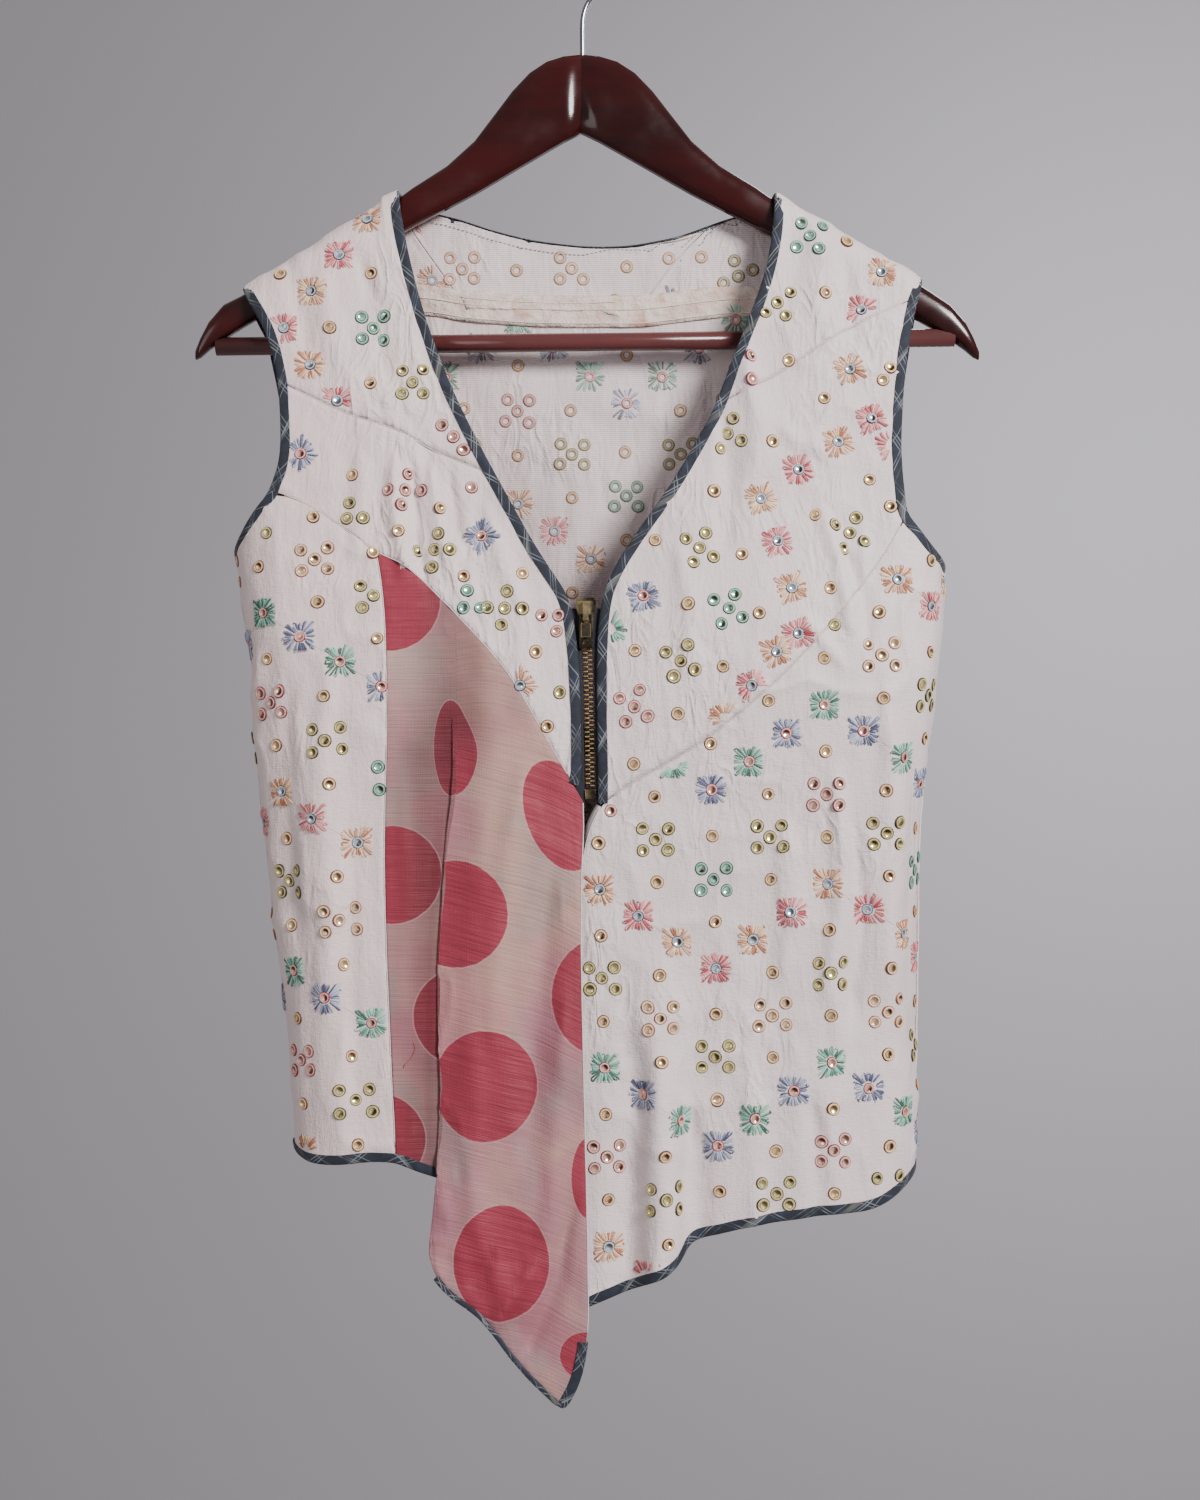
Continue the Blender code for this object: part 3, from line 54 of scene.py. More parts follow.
camera = {"eye": (0.0103, -1.07, -0.4733), "height": 0.858, "away": 1.05}
studio = {
    "floorZ": -3.9, "floorSize": 9.0, "wallTall": 6.4, "cove": 1.0,
    "paper": (0.535, 0.515, 0.54), "world": (0.72, 0.71, 0.74), "worldStrength": 0.44,
    "lamps": {  # place, aim, size, power, colour
        "keyLamp": ((1.35, -1.75, 0.55), (0.05, 0.0, -0.45), 0.80, 100.0, (1.0, 0.985, 0.97)),
        "fillLamp": ((-1.7, -1.8, -0.2), (0.0, 0.0, -0.5), 1.4, 13.0, (1.0, 0.97, 0.95)),
        "backLamp": ((0.8, 2.2, 0.8), (0.0, 0.0, -0.4), 1.6, 26.0, (0.97, 0.97, 1.0)),
        "wallLamp": ((1.7, 1.9, 0.5), (2.4, 4.5, -0.2), 1.8, 70.0, (1.0, 0.99, 1.0)),
    },
}


def linear(colour):  # the value a shader wants for a 0-255 colour
    share = [c / 255 for c in colour]
    return tuple(c / 12.92 if c <= 0.04045 else ((c + 0.055) / 1.055) ** 2.4 for c in share)


class Signal:
    # one output in a finish, with the sums that finishes are written in
    def __init__(self, finish, socket):
        self.finish, self.socket = finish, socket

    def sum(self, operation, first, second):
        return self.finish.node("ShaderNodeMath", {"operation": operation}, {0: first, 1: second})

    def __add__(self, other):
        return self.sum("ADD", self, other)

    def __radd__(self, other):
        return self.sum("ADD", other, self)

    def __sub__(self, other):
        return self.sum("SUBTRACT", self, other)

    def __rsub__(self, other):
        return self.sum("SUBTRACT", other, self)

    def __mul__(self, other):
        return self.sum("MULTIPLY", self, other)

    def __rmul__(self, other):
        return self.sum("MULTIPLY", other, self)

    def __truediv__(self, other):
        return self.sum("DIVIDE", self, other)

    def smaller(self, other):
        return self.sum("MINIMUM", self, other)

    def larger(self, other):
        return self.sum("MAXIMUM", self, other)

    def size(self):
        return self.sum("ABSOLUTE", self, 0.0)

    def part(self):
        return self.sum("FRACT", self, 0.0)

    def root(self):
        return self.sum("SQRT", self, 0.0)


class Finish:
    # a material written as sums of signals; uniform values go on the shader itself
    def __init__(self, name, **uniform):
        self.material = bpy.data.materials.new(name)
        self.material.use_nodes = True
        self.tree = self.material.node_tree
        self.shader = self.tree.nodes["Principled BSDF"]
        for socket, value in uniform.items():
            self.feed(self.shader.inputs[socket.replace("_", " ")], value)

    def feed(self, socket, value):
        if isinstance(value, Signal):
            self.tree.links.new(value.socket, socket)
        elif hasattr(value, "__len__") and socket.type == "RGBA" and len(value) == 3:
            socket.default_value = (*value, 1.0)
        else:
            socket.default_value = value

    def node(self, kind, settings=None, inputs=None, output=0):
        made = self.tree.nodes.new(kind)
        for key, value in (settings or {}).items():
            if key == "stops":
                ramp = made.color_ramp
                while len(ramp.elements) < len(value):
                    ramp.elements.new(0.5)
                for element, (at, colour) in zip(ramp.elements, value):
                    element.position = at
                    element.color = (*colour, 1.0)
            else:
                setattr(made, key, value)
        for key, value in (inputs or {}).items():
            self.feed(made.inputs[key], value)
        return Signal(self, made.outputs[output])

    def set(self, socket, value):
        self.feed(self.shader.inputs[socket], value)

    def place(self, kind="Object", scale=(1, 1, 1), turn=(0, 0, 0)):
        at = self.node("ShaderNodeTexCoord", output=kind)
        return self.node("ShaderNodeMapping", {}, {"Vector": at, "Scale": scale, "Rotation": turn})

    def noise(self, at, scale, detail=2.0, rough=0.5, distort=0.0):
        return self.node(
            "ShaderNodeTexNoise", {},
            {"Vector": at, "Scale": scale, "Detail": detail, "Roughness": rough, "Distortion": distort},
        )

    def ramp(self, value, *stops):
        return self.node("ShaderNodeValToRGB", {"stops": stops}, {"Fac": value})

    def steps(self, value, low, high, start=0.0, end=1.0):
        return self.node(
            "ShaderNodeMapRange", {"interpolation_type": "SMOOTHSTEP"},
            {"Value": value, "From Min": low, "From Max": high, "To Min": start, "To Max": end},
        )

    def axis(self, at, which=0):
        return self.node("ShaderNodeSeparateXYZ", {}, {0: at}, which)

    def mix(self, share, first, second, blend="MIX"):
        settings = {"data_type": "RGBA", "blend_type": blend}
        return self.node("ShaderNodeMix", settings, {0: share, 6: first, 7: second}, output=2)

    def over(self, base, colour, value, *limits, blend="MIX"):
        # lays a colour over the base where a value lies between limits
        return self.mix(self.steps(value, *limits), base, linear(colour), blend)

    def attribute(self, name, output="Color"):
        return self.node("ShaderNodeAttribute", {"attribute_name": name}, {}, output)

    def bump(self, height, deep, strength=1.0, onto=None):
        inputs = {"Height": height, "Distance": deep, "Strength": strength}
        if onto is not None:
            inputs["Normal"] = onto
        return self.node("ShaderNodeBump", {}, inputs)


def deselect():
    if bpy.context.mode != "OBJECT":
        bpy.ops.object.mode_set(mode="OBJECT")
    bpy.ops.object.select_all(action="DESELECT")


def pick(obj):
    deselect()
    obj.select_set(True)
    bpy.context.view_layer.objects.active = obj


def smooth(obj, degrees=None):
    # shades a whole object smoothly, or only across edges that bend less than this
    pick(obj)
    if degrees is None:
        bpy.ops.object.shade_smooth()
    else:
        bpy.ops.object.shade_smooth_by_angle(angle=math.radians(degrees))


def editAll(obj, change, **settings):
    # one mesh operator on every face of an object
    pick(obj)
    bpy.ops.object.mode_set(mode="EDIT")
    bpy.ops.mesh.select_all(action="SELECT")
    change(**settings)
    bpy.ops.object.mode_set(mode="OBJECT")


def evenNormals(obj):
    # turns every face of a closed mesh outwards
    editAll(obj, bpy.ops.mesh.normals_make_consistent, inside=False)


def toQuads(obj, bend, skew):
    # joins pairs of triangles that are nearly flat and nearly square, in degrees
    editAll(obj, bpy.ops.mesh.tris_convert_to_quads, face_threshold=math.radians(bend),
            shape_threshold=math.radians(skew))


def treeOf(name):
    # one solid, for finding what lies near it
    solid = nodes[name].data
    return BVHTree.FromPolygons([v.co for v in solid.vertices], [p.vertices[:] for p in solid.polygons])


def apply(obj, kind, name, **settings):
    pick(obj)
    modifier = obj.modifiers.new(name, kind)
    for key, value in settings.items():
        setattr(modifier, key, value)
    if kind == "SUBSURF":
        modifier.render_levels = modifier.levels
    bpy.ops.object.modifier_apply(modifier=name)


def dress(obj, finish, body="waistcoat", replaces=()):
    obj.data.materials.clear()
    obj.data.materials.append(finish.material)
    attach(obj, body)
    if replaces:
        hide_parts(*replaces)
    return obj


def linked(name, data):
    obj = bpy.data.objects.new(name, data)
    bpy.context.scene.collection.objects.link(obj)
    return obj


def meshFrom(name, points, faces):
    data = bpy.data.meshes.new(name)
    data.from_pydata([tuple(p) for p in points], [], [tuple(f) for f in faces])
    data.update()
    return linked(name, data)


def fromBmesh(name, bm):
    data = bpy.data.meshes.new(name)
    bm.to_mesh(data)
    bm.free()
    return linked(name, data)


def makeStage():
    bpy.ops.mesh.primitive_plane_add(size=studio["floorSize"], location=(0, 0, studio["floorZ"]))
    floor = bpy.context.object
    floor.name = "floor"
    bpy.ops.object.mode_set(mode="EDIT")
    bpy.ops.mesh.select_mode(type="EDGE")
    bpy.ops.mesh.select_all(action="DESELECT")
    bm = bmesh.from_edit_mesh(floor.data)
    far = studio["floorSize"] / 2
    for edge in bm.edges:
        edge.select_set(all(v.co.y > far - 0.01 for v in edge.verts))
    bmesh.update_edit_mesh(floor.data)
    bpy.ops.mesh.extrude_region_move(TRANSFORM_OT_translate={"value": (0, 0, studio["wallTall"])})
    bpy.ops.object.mode_set(mode="OBJECT")
    bpy.ops.object.transform_apply(location=True)
    apply(floor, "BEVEL", "cove", width=studio["cove"], segments=12)
    smooth(floor)
    paper = Finish("studioPaper", Roughness=0.95)
    soft = paper.noise(paper.place(), 0.7, 2.0)
    paper.set("Base Color", paper.mix(soft, studio["paper"], tuple(c * 0.94 for c in studio["paper"])))
    floor.data.materials.append(paper.material)
    world = bpy.data.worlds.new("studioAir")
    world.use_nodes = True
    sky = world.node_tree.nodes["Background"]
    sky.inputs["Color"].default_value = (*studio["world"], 1)
    sky.inputs["Strength"].default_value = studio["worldStrength"]
    bpy.context.scene.world = world
    for name, (place, aim, size, power, colour) in studio["lamps"].items():
        bpy.ops.object.light_add(type="AREA", location=place)
        lamp = bpy.context.object
        lamp.name = name
        lamp.data.shape = "DISK"
        lamp.data.size = size
        lamp.data.energy = power
        lamp.data.color = colour
        lamp.rotation_euler = (Vector(aim) - Vector(place)).to_track_quat("-Z", "Y").to_euler()
    bpy.ops.object.camera_add(location=camera["eye"], rotation=(math.pi / 2, 0, 0))
    eye = bpy.context.object
    eye.name = "camera"
    eye.data.sensor_fit = "VERTICAL"
    eye.data.sensor_height = 36.0
    eye.data.sensor_width = 36.0
    eye.data.lens = 36.0 * camera["away"] / camera["height"]
    bpy.context.scene.camera = eye


deselect()
makeStage()
print("stage ready")


# soft noise, the same for every panel

table = np.random.default_rng(7).random(4096)


def lattice(ix, iy, iz):
    mixed = (ix * 73856093) ^ (iy * 19349663) ^ (iz * 83492791)
    return table[(mixed & 0x7FFFFFFF) % 4096]


def roll(points, size):  # smooth rises and falls, from -1 to 1; size in metres, one or for x, y, z
    at = points / np.array(size)
    cell = np.floor(at).astype(np.int64)
    part = at - cell
    part = part * part * (3 - 2 * part)
    total = np.zeros(len(points))
    for i in (0, 1):
        for j in (0, 1):
            for k in (0, 1):
                weight = np.abs(1 - i - part[:, 0]) * np.abs(1 - j - part[:, 1]) * np.abs(1 - k - part[:, 2])
                total += weight * lattice(cell[:, 0] + i, cell[:, 1] + j, cell[:, 2] + k)
    return total * 2 - 1


def rise(value, low, high):
    share = np.clip((value - low) / (high - low), 0, 1)
    return share * share * (3 - 2 * share)


def unit(rows):  # each row of an array brought to a length of 1
    return rows / np.linalg.norm(rows, axis=1)[:, None]


def toLine(x, z, line):  # distance to a run of points in mm, and how far along it, from 0 to 1
    line = np.array(line, float)
    spans = np.linalg.norm(np.diff(line, axis=0), axis=1)
    before = np.concatenate([[0], np.cumsum(spans)])
    best = np.full(len(x), 1e9)
    along = np.zeros(len(x))
    for (x0, z0), (x1, z1), start, span in zip(line[:-1], line[1:], before, spans):
        share = np.clip(((x - x0) * (x1 - x0) + (z - z0) * (z1 - z0)) / span ** 2, 0, 1)
        away = np.hypot(x - x0 - share * (x1 - x0), z - z0 - share * (z1 - z0))
        nearer = away < best
        best[nearer] = away[nearer]
        along[nearer] = (start + share[nearer] * span) / before[-1]
    return best, along


# creases in the cloth: points in mm, width, height (below 0 is a trough)

frontCreases = [
    ([(42, -640), (46, -720), (40, -800)], 9, 2.4),
    ([(60, -655), (66, -730), (63, -795)], 7, -1.7),
    ([(27, -600), (30, -680), (22, -790)], 8, -1.6),
    ([(112, -505), (118, -560), (113, -610)], 6, 1.0),
    ([(141, -470), (146, -540), (140, -600), (146, -650)], 6, 1.3),
    ([(153, -500), (157, -570), (151, -640)], 5, -1.1),
    ([(170, -420), (176, -520), (172, -640)], 8, 1.4),
    ([(189, -450), (194, -560), (189, -690)], 8, -1.3),
    ([(92, -640), (98, -700), (94, -770)], 7, 1.1),
    ([(128, -660), (134, -720), (131, -765)], 6, -1.1),
    ([(134, -330), (147, -372), (152, -410)], 5, 1.2),
    ([(146, -352), (158, -385), (161, -420)], 4, -1.0),
    ([(120, -395), (135, -412), (148, -430)], 4, 0.9),
    ([(108, -286), (128, -300), (150, -306)], 5, 0.9),
    ([(92, -238), (101, -290), (97, -330)], 7, 1.1),
    ([(78, -270), (84, -320), (77, -370)], 6, -0.9),
    ([(52, -350), (62, -398), (60, -440)], 6, 0.9),
    ([(150, -190), (156, -230), (150, -262)], 6, -0.9),
    ([(130, -165), (137, -200), (134, -232)], 6, 0.8),
    ([(-107, -300), (-103, -345), (-98, -385)], 5, 1.5),
    ([(-97, -303), (-92, -350), (-85, -392)], 4, -1.3),
    ([(-86, -306), (-80, -345), (-72, -380)], 4.5, 1.3),
    ([(-76, -310), (-69, -350), (-60, -372)], 4, -0.9),
    ([(-125, -296), (-124, -340), (-128, -372)], 6, 0.8),
    ([(-55, -330), (-42, -372), (-30, -402)], 5, 0.9),
    ([(-150, -190), (-140, -240), (-128, -285)], 7, 0.9),
    ([(-172, -175), (-160, -225), (-155, -262)], 6, -0.7),
    ([(-131, -180), (-118, -225), (-107, -270)], 6, -0.8),
    ([(-140, -400), (-146, -480), (-141, -560), (-148, -640)], 8, 1.2),
    ([(-164, -420), (-168, -510), (-163, -610)], 7, -1.1),
    ([(-182, -400), (-187, -500), (-183, -640)], 8, 1.2),
    ([(-128, -520), (-131, -600), (-127, -690)], 5, -0.8),
    ([(-101, -480), (-99, -560), (-103, -640)], 5, 0.7),
    ([(-30, -470), (-46, -560), (-52, -650)], 9, 1.3),
    ([(-15, -520), (-25, -620), (-30, -720)], 8, -1.2),
    ([(-22, -756), (-38, -780), (-53, -801)], 5, 1.5),
    ([(-3, -720), (-12, -770), (-37, -822)], 5, -1.5),
    ([(-46, -752), (-56, -764), (-64, -775)], 4, -0.9),
    ([(-8, -600), (-14, -690), (-20, -760)], 6, 0.9),
    ([(-66, -690), (-58, -740), (-40, -790)], 7, 0.8),
]
backCreases = [
    ([(-120, -360), (-128, -480), (-118, -620)], 13, 1.9),
    ([(-82, -330), (-90, -470), (-83, -600), (-90, -720)], 11, -1.6),
    ([(-38, -350), (-32, -460), (-40, -590)], 12, 1.5),
    ([(8, -340), (2, -480), (10, -640), (4, -760)], 13, -1.7),
    ([(55, -330), (62, -470), (54, -640)], 12, 1.8),
    ([(98, -350), (92, -500), (101, -650)], 11, -1.4),
    ([(140, -370), (147, -520), (139, -700)], 12, 1.6),
    ([(-158, -400), (-164, -540), (-156, -690)], 12, 1.5),
    ([(-186, -420), (-191, -560), (-185, -680)], 9, -1.1),
    ([(178, -400), (184, -540), (178, -690)], 11, -1.3),
    ([(-70, -228), (-30, -240), (20, -238)], 8, 0.9),
    ([(-10, -262), (40, -276), (90, -270)], 9, -0.9),
    ([(-110, -262), (-80, -300), (-70, -350)], 9, 1.0),
    ([(105, -255), (88, -300), (80, -345)], 9, 1.0),
]


def rumple(points, facing, edge, edgePoint):
    # how far the cloth stands proud at each point, in mm; facing is -1 at the front and 1 behind
    x, z = points[:, 0] / mm, points[:, 2] / mm
    front, back = rise(-facing, -0.2, 0.35), rise(facing, -0.2, 0.35)
    total = np.zeros(len(x))
    for creases, share in ((frontCreases, front), (backCreases, back)):
        for line, width, height in creases:
            wobble = 2.2 * roll(points, (0.03, 0.09, 0.03)) + 0.7 * roll(points + 0.4, (0.009, 0.09, 0.011))
            away, along = toLine(x + wobble, z, line)
            reach = width * (0.62 + 0.5 * rise(along, 0, 0.5) - 0.32 * rise(along, 0.5, 1))
            taper = rise(along, -0.02, 0.25) * (1 - rise(along, 0.75, 1.02))
            total += 2.5 * share * height * taper * np.exp(-(away / reach) ** 2)
    streaks = roll(points, (0.011, 0.09, 0.06)) * (0.5 + 0.5 * roll(points + 3, (0.06, 0.1, 0.07)))
    total += 1.1 * streaks
    crumple = 1 - np.abs(roll(points + 1.7, (0.021, 0.05, 0.026)))
    total += 1.7 * crumple ** 4 * rise(roll(points + 5, (0.07, 0.2, 0.06)), -0.3, 0.5)
    total += 0.26 * roll(points + 9, (0.0065, 0.03, 0.0075)) + 0.5 * roll(points + 11, (0.013, 0.05, 0.016))
    gather = roll(edgePoint, 0.0062)
    total += 0.62 * gather * np.exp(-edge / 8.0) * rise(edge, 0.4, 3.0)
    return total - 0.38 * np.exp(-(edge / 1.7) ** 2)


# cloth panels: skins taken off the solids, unrolled, creased and given their thickness

cloth = {
    "thick": 0.85, "sharp": 65.0,
    "front": ["front_yoke_right", "front_bust_right", "side_panel_right", "drape_panel",
              "front_yoke_left", "front_bust_left", "front_lower_left"],
    "back": ["back_shoulder_right", "back_yoke", "back_shoulder_left", "back_panel"],
    "levels": {"back_panel": 2},
    "foldEdge": [(-72.6, -448), (-72.6, -491), (-73.7, -500), (-77.1, -530), (-79.9, -565), (-81.5, -602),
                 (-81.5, -713), (-86.0, -739), (-88.8, -756)],  # the flap's outer fold, x and z in mm
    "cut": {  # flat width and length of each panel as cut, and its finished area, in metres
        "front_yoke_right": (0.165, 0.185, 0.0117), "front_bust_right": (0.195, 0.190, 0.0141),
        "side_panel_right": (0.125, 0.395, 0.0338), "drape_panel": (0.225, 0.500, 0.0482),
        "front_yoke_left": (0.135, 0.145, 0.0070), "front_bust_left": (0.215, 0.300, 0.0278),
        "front_lower_left": (0.250, 0.460, 0.0708), "back_shoulder_right": (0.140, 0.085, 0.0048),
        "back_yoke": (0.195, 0.072, 0.0054), "back_shoulder_left": (0.175, 0.090, 0.0066),
        "back_panel": (0.465, 0.525, 0.196),
    },
}
wrap = {  # how patterns bend round the body: the panels that bend, where they are seen from in mm,
    # the height of a row in metres, how far round the tables go, their places, and how many are averaged
    "bent": ["front_lower_left", "side_panel_right", "back_panel", "front_bust_left", "front_bust_right"],
    "centre": (10.3, 60), "row": 0.012, "turn": 2.6, "places": 261, "smooth": 7, "least": 12,
}
flap = {  # how the spotted flap lies on its strip: sizes in mm; ranges in metres, by height or from the fold
    "proud": 0.9, "beside": 5, "inside": 2.0, "outside": 2.5, "doubled": (-0.74, -0.43), "heights": 90,
    "keep": 0.30, "near": (0.002, 0.024), "topKeep": 0.05, "topNear": (0.004, 0.036),
    "upper": (-0.482, -0.446), "lower": (-0.525, -0.500), "rim": (1.5, 14.0),
    "outward": 1.4, "outwardNear": (0.002, 0.014), "lift": 0.9, "liftFrom": (-0.007, -0.001),
    "liftTo": (0.003, 0.010), "plainTop": (-0.478, -0.450), "plainNear": (-0.006, 0.030),
}


def ringsOf(bm):
    # the open edges as simple rings of vertices, the longest first
    ways = {}
    for edge in bm.edges:
        if len(edge.link_faces) == 1:
            for v in edge.verts:
                ways.setdefault(v, []).append(edge)
    rings = []
    while ways:
        path = [next(iter(ways))]
        while path and ways.get(path[-1]):
            here = path[-1]
            edge = ways[here].pop()
            there = edge.other_vert(here)
            ways[there].remove(edge)
            if there in path:
                at = path.index(there)
                rings.append(path[at:])
                path = path[:at + 1]
            else:
                path.append(there)
        ways = {v: edges for v, edges in ways.items() if edges}
    size = lambda ring: sum((a.co - b.co).length for a, b in zip(ring, ring[1:] + ring[:1]))
    return sorted(rings, key=lambda ring: -size(ring))


def closeHoles(bm, outward):
    # every open ring but the longest is a missing sliver, so it is filled
    for ring in ringsOf(bm)[1:]:
        if len(ring) > 2:
            made = bmesh.ops.contextual_create(bm, geom=ring)["faces"]
            bmesh.ops.triangulate(bm, faces=[f for f in made if len(f.verts) > 3])
    bmesh.ops.recalc_face_normals(bm, faces=bm.faces)
    if sum(f.calc_area() * f.normal.y for f in bm.faces) * outward < 0:
        bmesh.ops.reverse_faces(bm, faces=bm.faces)


def skinOf(name):
    # the outer face of one panel's solid, as its own open mesh of quads
    bm = bmesh.new()
    bm.from_mesh(nodes[name].data)
    bmesh.ops.remove_doubles(bm, verts=bm.verts, dist=2e-5)
    bmesh.ops.dissolve_degenerate(bm, edges=bm.edges, dist=5e-5)
    bmesh.ops.triangulate(bm, faces=[f for f in bm.faces if len(f.verts) > 3])
    bm.faces.index_update()
    bm.faces.ensure_lookup_table()
    label = {}
    groups = []
    limit = math.radians(cloth["sharp"])
    narrow = {f.index for f in bm.faces if f.calc_area() / max(e.calc_length() for e in f.edges) < 0.12 * mm}
    for face in sorted(bm.faces, key=lambda f: -f.calc_area()):
        if face.index in label:
            continue
        group, queue = [], [(face, face.normal.copy())]
        label[face.index] = len(groups)
        while queue:
            one, lean = queue.pop()
            group.append(one)
            for edge in one.edges:
                for other in edge.link_faces:
                    if other.index in label:
                        continue
                    thin = other.index in narrow
                    if not thin and lean.angle(other.normal, 0) > limit:
                        continue
                    label[other.index] = len(groups)
                    queue.append((other, lean if thin else other.normal.copy()))
        groups.append(group)
    groups.sort(key=lambda group: -sum(f.calc_area() for f in group))
    behind = name in cloth["back"]
    first, second = groups[0], groups[1]
    lean = [sum(f.calc_area() * f.normal.y for f in g) * (1 if behind else -1) for g in (first, second)]
    outer, flipped = first, False
    if name == "drape_panel":
        flipped = lean[0] < 0
    elif lean[1] > lean[0]:
        outer = second
    keep = set(f.index for f in outer)
    bmesh.ops.delete(bm, geom=[f for f in bm.faces if f.index not in keep], context="FACES")
    closeHoles(bm, 1 if behind else -1)
    obj = fromBmesh(name + "_cloth", bm)
    toQuads(obj, 35, 50)
    levels = cloth["levels"].get(name, 3)
    apply(obj, "SUBSURF", "rounding", levels=levels, boundary_smooth="PRESERVE_CORNERS")
    return obj, flipped


def pointsOf(obj):
    flat = np.empty(len(obj.data.vertices) * 3, np.float32)
    obj.data.vertices.foreach_get("co", flat)
    return flat.reshape(-1, 3).astype(float)


def normalsOf(obj):
    flat = np.empty(len(obj.data.vertices) * 3, np.float32)
    obj.data.vertex_normals.foreach_get("vector", flat)
    return flat.reshape(-1, 3).astype(float)


def rimOf(obj):
    # the open edges of a skin, as loops of vertex numbers, with the way into the cloth at each
    bm = bmesh.new()
    bm.from_mesh(obj.data)
    bm.verts.ensure_lookup_table()
    inward = {}
    for edge in bm.edges:
        if len(edge.link_faces) == 1:
            into = edge.link_faces[0].calc_center_median() - (edge.verts[0].co + edge.verts[1].co) / 2
            for v in edge.verts:
                inward[v.index] = inward.get(v.index, Vector()) + into
    loops = [[v.index for v in ring] for ring in ringsOf(bm)[:1]]
    bm.free()
    return loops, {i: v.normalized() for i, v in inward.items()}


def turnOf(points, side):
    # how far round its half of the body each point lies, seen from well behind, so that creases
    # don't stretch the pattern
    x, y = np.array(wrap["centre"]) * mm
    sign = -1 if side == "front" else 1
    return np.arctan2(points[:, 0] - x, y + sign * points[:, 1])


def unroll(skins):
    # for each row of each half, how long the cloth is from the middle to each turn
    bands = {}
    kernel = np.ones(wrap["smooth"]) / wrap["smooth"]
    half = wrap["smooth"] // 2
    for side, names in (("front", cloth["front"]), ("back", cloth["back"])):
        gathered = np.vstack([pointsOf(skins[n]) for n in names if n != "drape_panel"])
        turn = turnOf(gathered, side)
        rows = np.round(gathered[:, 2] / wrap["row"]).astype(int)
        bands[side] = {}
        for row in np.unique(rows):
            here = np.abs(rows - row) <= 1
            if here.sum() < wrap["least"]:
                continue
            angle, spots = turn[here], gathered[here]
            grid = np.linspace(-wrap["turn"], wrap["turn"], wrap["places"])
            order = np.argsort(angle)
            xs = np.interp(grid, angle[order], spots[order, 0])
            ys = np.interp(grid, angle[order], spots[order, 1])
            xs = np.convolve(np.pad(xs, half, "edge"), kernel, "valid")
            ys = np.convolve(np.pad(ys, half, "edge"), kernel, "valid")
            run = np.concatenate([[0], np.cumsum(np.hypot(np.diff(xs), np.diff(ys)))])
            zero = wrap["places"] // 2
            bands[side][row] = (grid, run - run[zero] + xs[zero])
    return bands


def aroundBody(points, side, bands):
    # how far across the unrolled cloth each point lies, between the two nearest rows
    turn = turnOf(points, side)
    have = np.array(sorted(bands[side]))
    place = np.clip(points[:, 2] / wrap["row"], have[0], have[-1])
    low = have[np.clip(np.searchsorted(have, place, "right") - 1, 0, len(have) - 1)]
    high = have[np.clip(np.searchsorted(have, place, "left"), 0, len(have) - 1)]
    result = np.zeros(len(points))
    for row in np.unique(np.concatenate([low, high])):
        grid, run = bands[side][row]
        value = np.interp(turn, grid, run)
        same = low == high
        result += np.where((low == row) & same, value, 0)
        gap = np.maximum(high - low, 1)
        result += np.where((low == row) & ~same, value * (high - place) / gap, 0)
        result += np.where((high == row) & ~same, value * (place - low) / gap, 0)
    return result


def drapeLayers(obj, points):
    # 1 on the flap folded over to the front, 0 on the strip that lies beneath it
    tree = BVHTree.FromObject(obj, bpy.context.evaluated_depsgraph_get())
    fold = np.array(cloth["foldEdge"][::-1]) * mm
    edge = np.interp(points[:, 2], fold[:, 1], fold[:, 0])
    heights = np.linspace(points[:, 2].min(), points[:, 2].max(), flap["heights"])
    beside = []
    for z in heights:  # how far out the strip lies beside the fold
        x = np.interp(z, fold[:, 1], fold[:, 0]) - flap["beside"] * mm
        hit = tree.ray_cast(Vector((x, -0.2, z)), Vector((0, 1, 0)))[0]
        beside.append(hit.y if hit else np.nan)
    beside = np.array(beside)
    known = ~np.isnan(beside)
    base = np.interp(points[:, 2], heights[known], beside[known])
    proud = points[:, 1] < base - flap["proud"] * mm
    well = points[:, 0] > edge + flap["inside"] * mm
    layer = (well | ((points[:, 0] > edge - flap["outside"] * mm) & proud)).astype(float)
    foot, top = flap["doubled"]
    for i in np.nonzero((layer > 0) & (points[:, 2] < top) & (points[:, 2] > foot))[0]:
        p = points[i]
        hit = tree.ray_cast(Vector((p[0], p[1] - 1.0 * mm, p[2])), Vector((0, -1, 0)), 0.03)
        if hit[0] is not None:
            layer[i] = 0.0
    return layer, edge, base


def settle(points, edge, base, rim):
    # presses the flap's fold down on the strip, brings the strip up to it, and smooths the fold
    # away above its top
    near = points[:, 0] - edge
    keep = flap["keep"] + (1 - flap["keep"]) * rise(near, *flap["near"])
    topKeep = flap["topKeep"] + (1 - flap["topKeep"]) * rise(near, *flap["topNear"])
    upper = rise(points[:, 2], *flap["upper"])
    keep = keep * (1 - upper) + topKeep * upper
    inner = rise(rim, *flap["rim"])
    lower = (1 - rise(points[:, 2], *flap["lower"])) * inner
    keep = 1 - (1 - keep) * inner
    pressed = points.copy()
    inside = (near > -0.003) & (points[:, 1] < base)
    pressed[inside, 1] = (base + (points[:, 1] - base) * keep)[inside]
    proud = inside & (points[:, 1] < base - flap["proud"] * mm)
    outward = flap["outward"] * mm * (1 - rise(near, *flap["outwardNear"])) * lower
    pressed[proud, 0] -= outward[proud]
    lift = flap["lift"] * mm * rise(near, *flap["liftFrom"]) * (1 - rise(near, *flap["liftTo"])) * lower
    pressed[~proud, 1] -= lift[~proud]
    return pressed


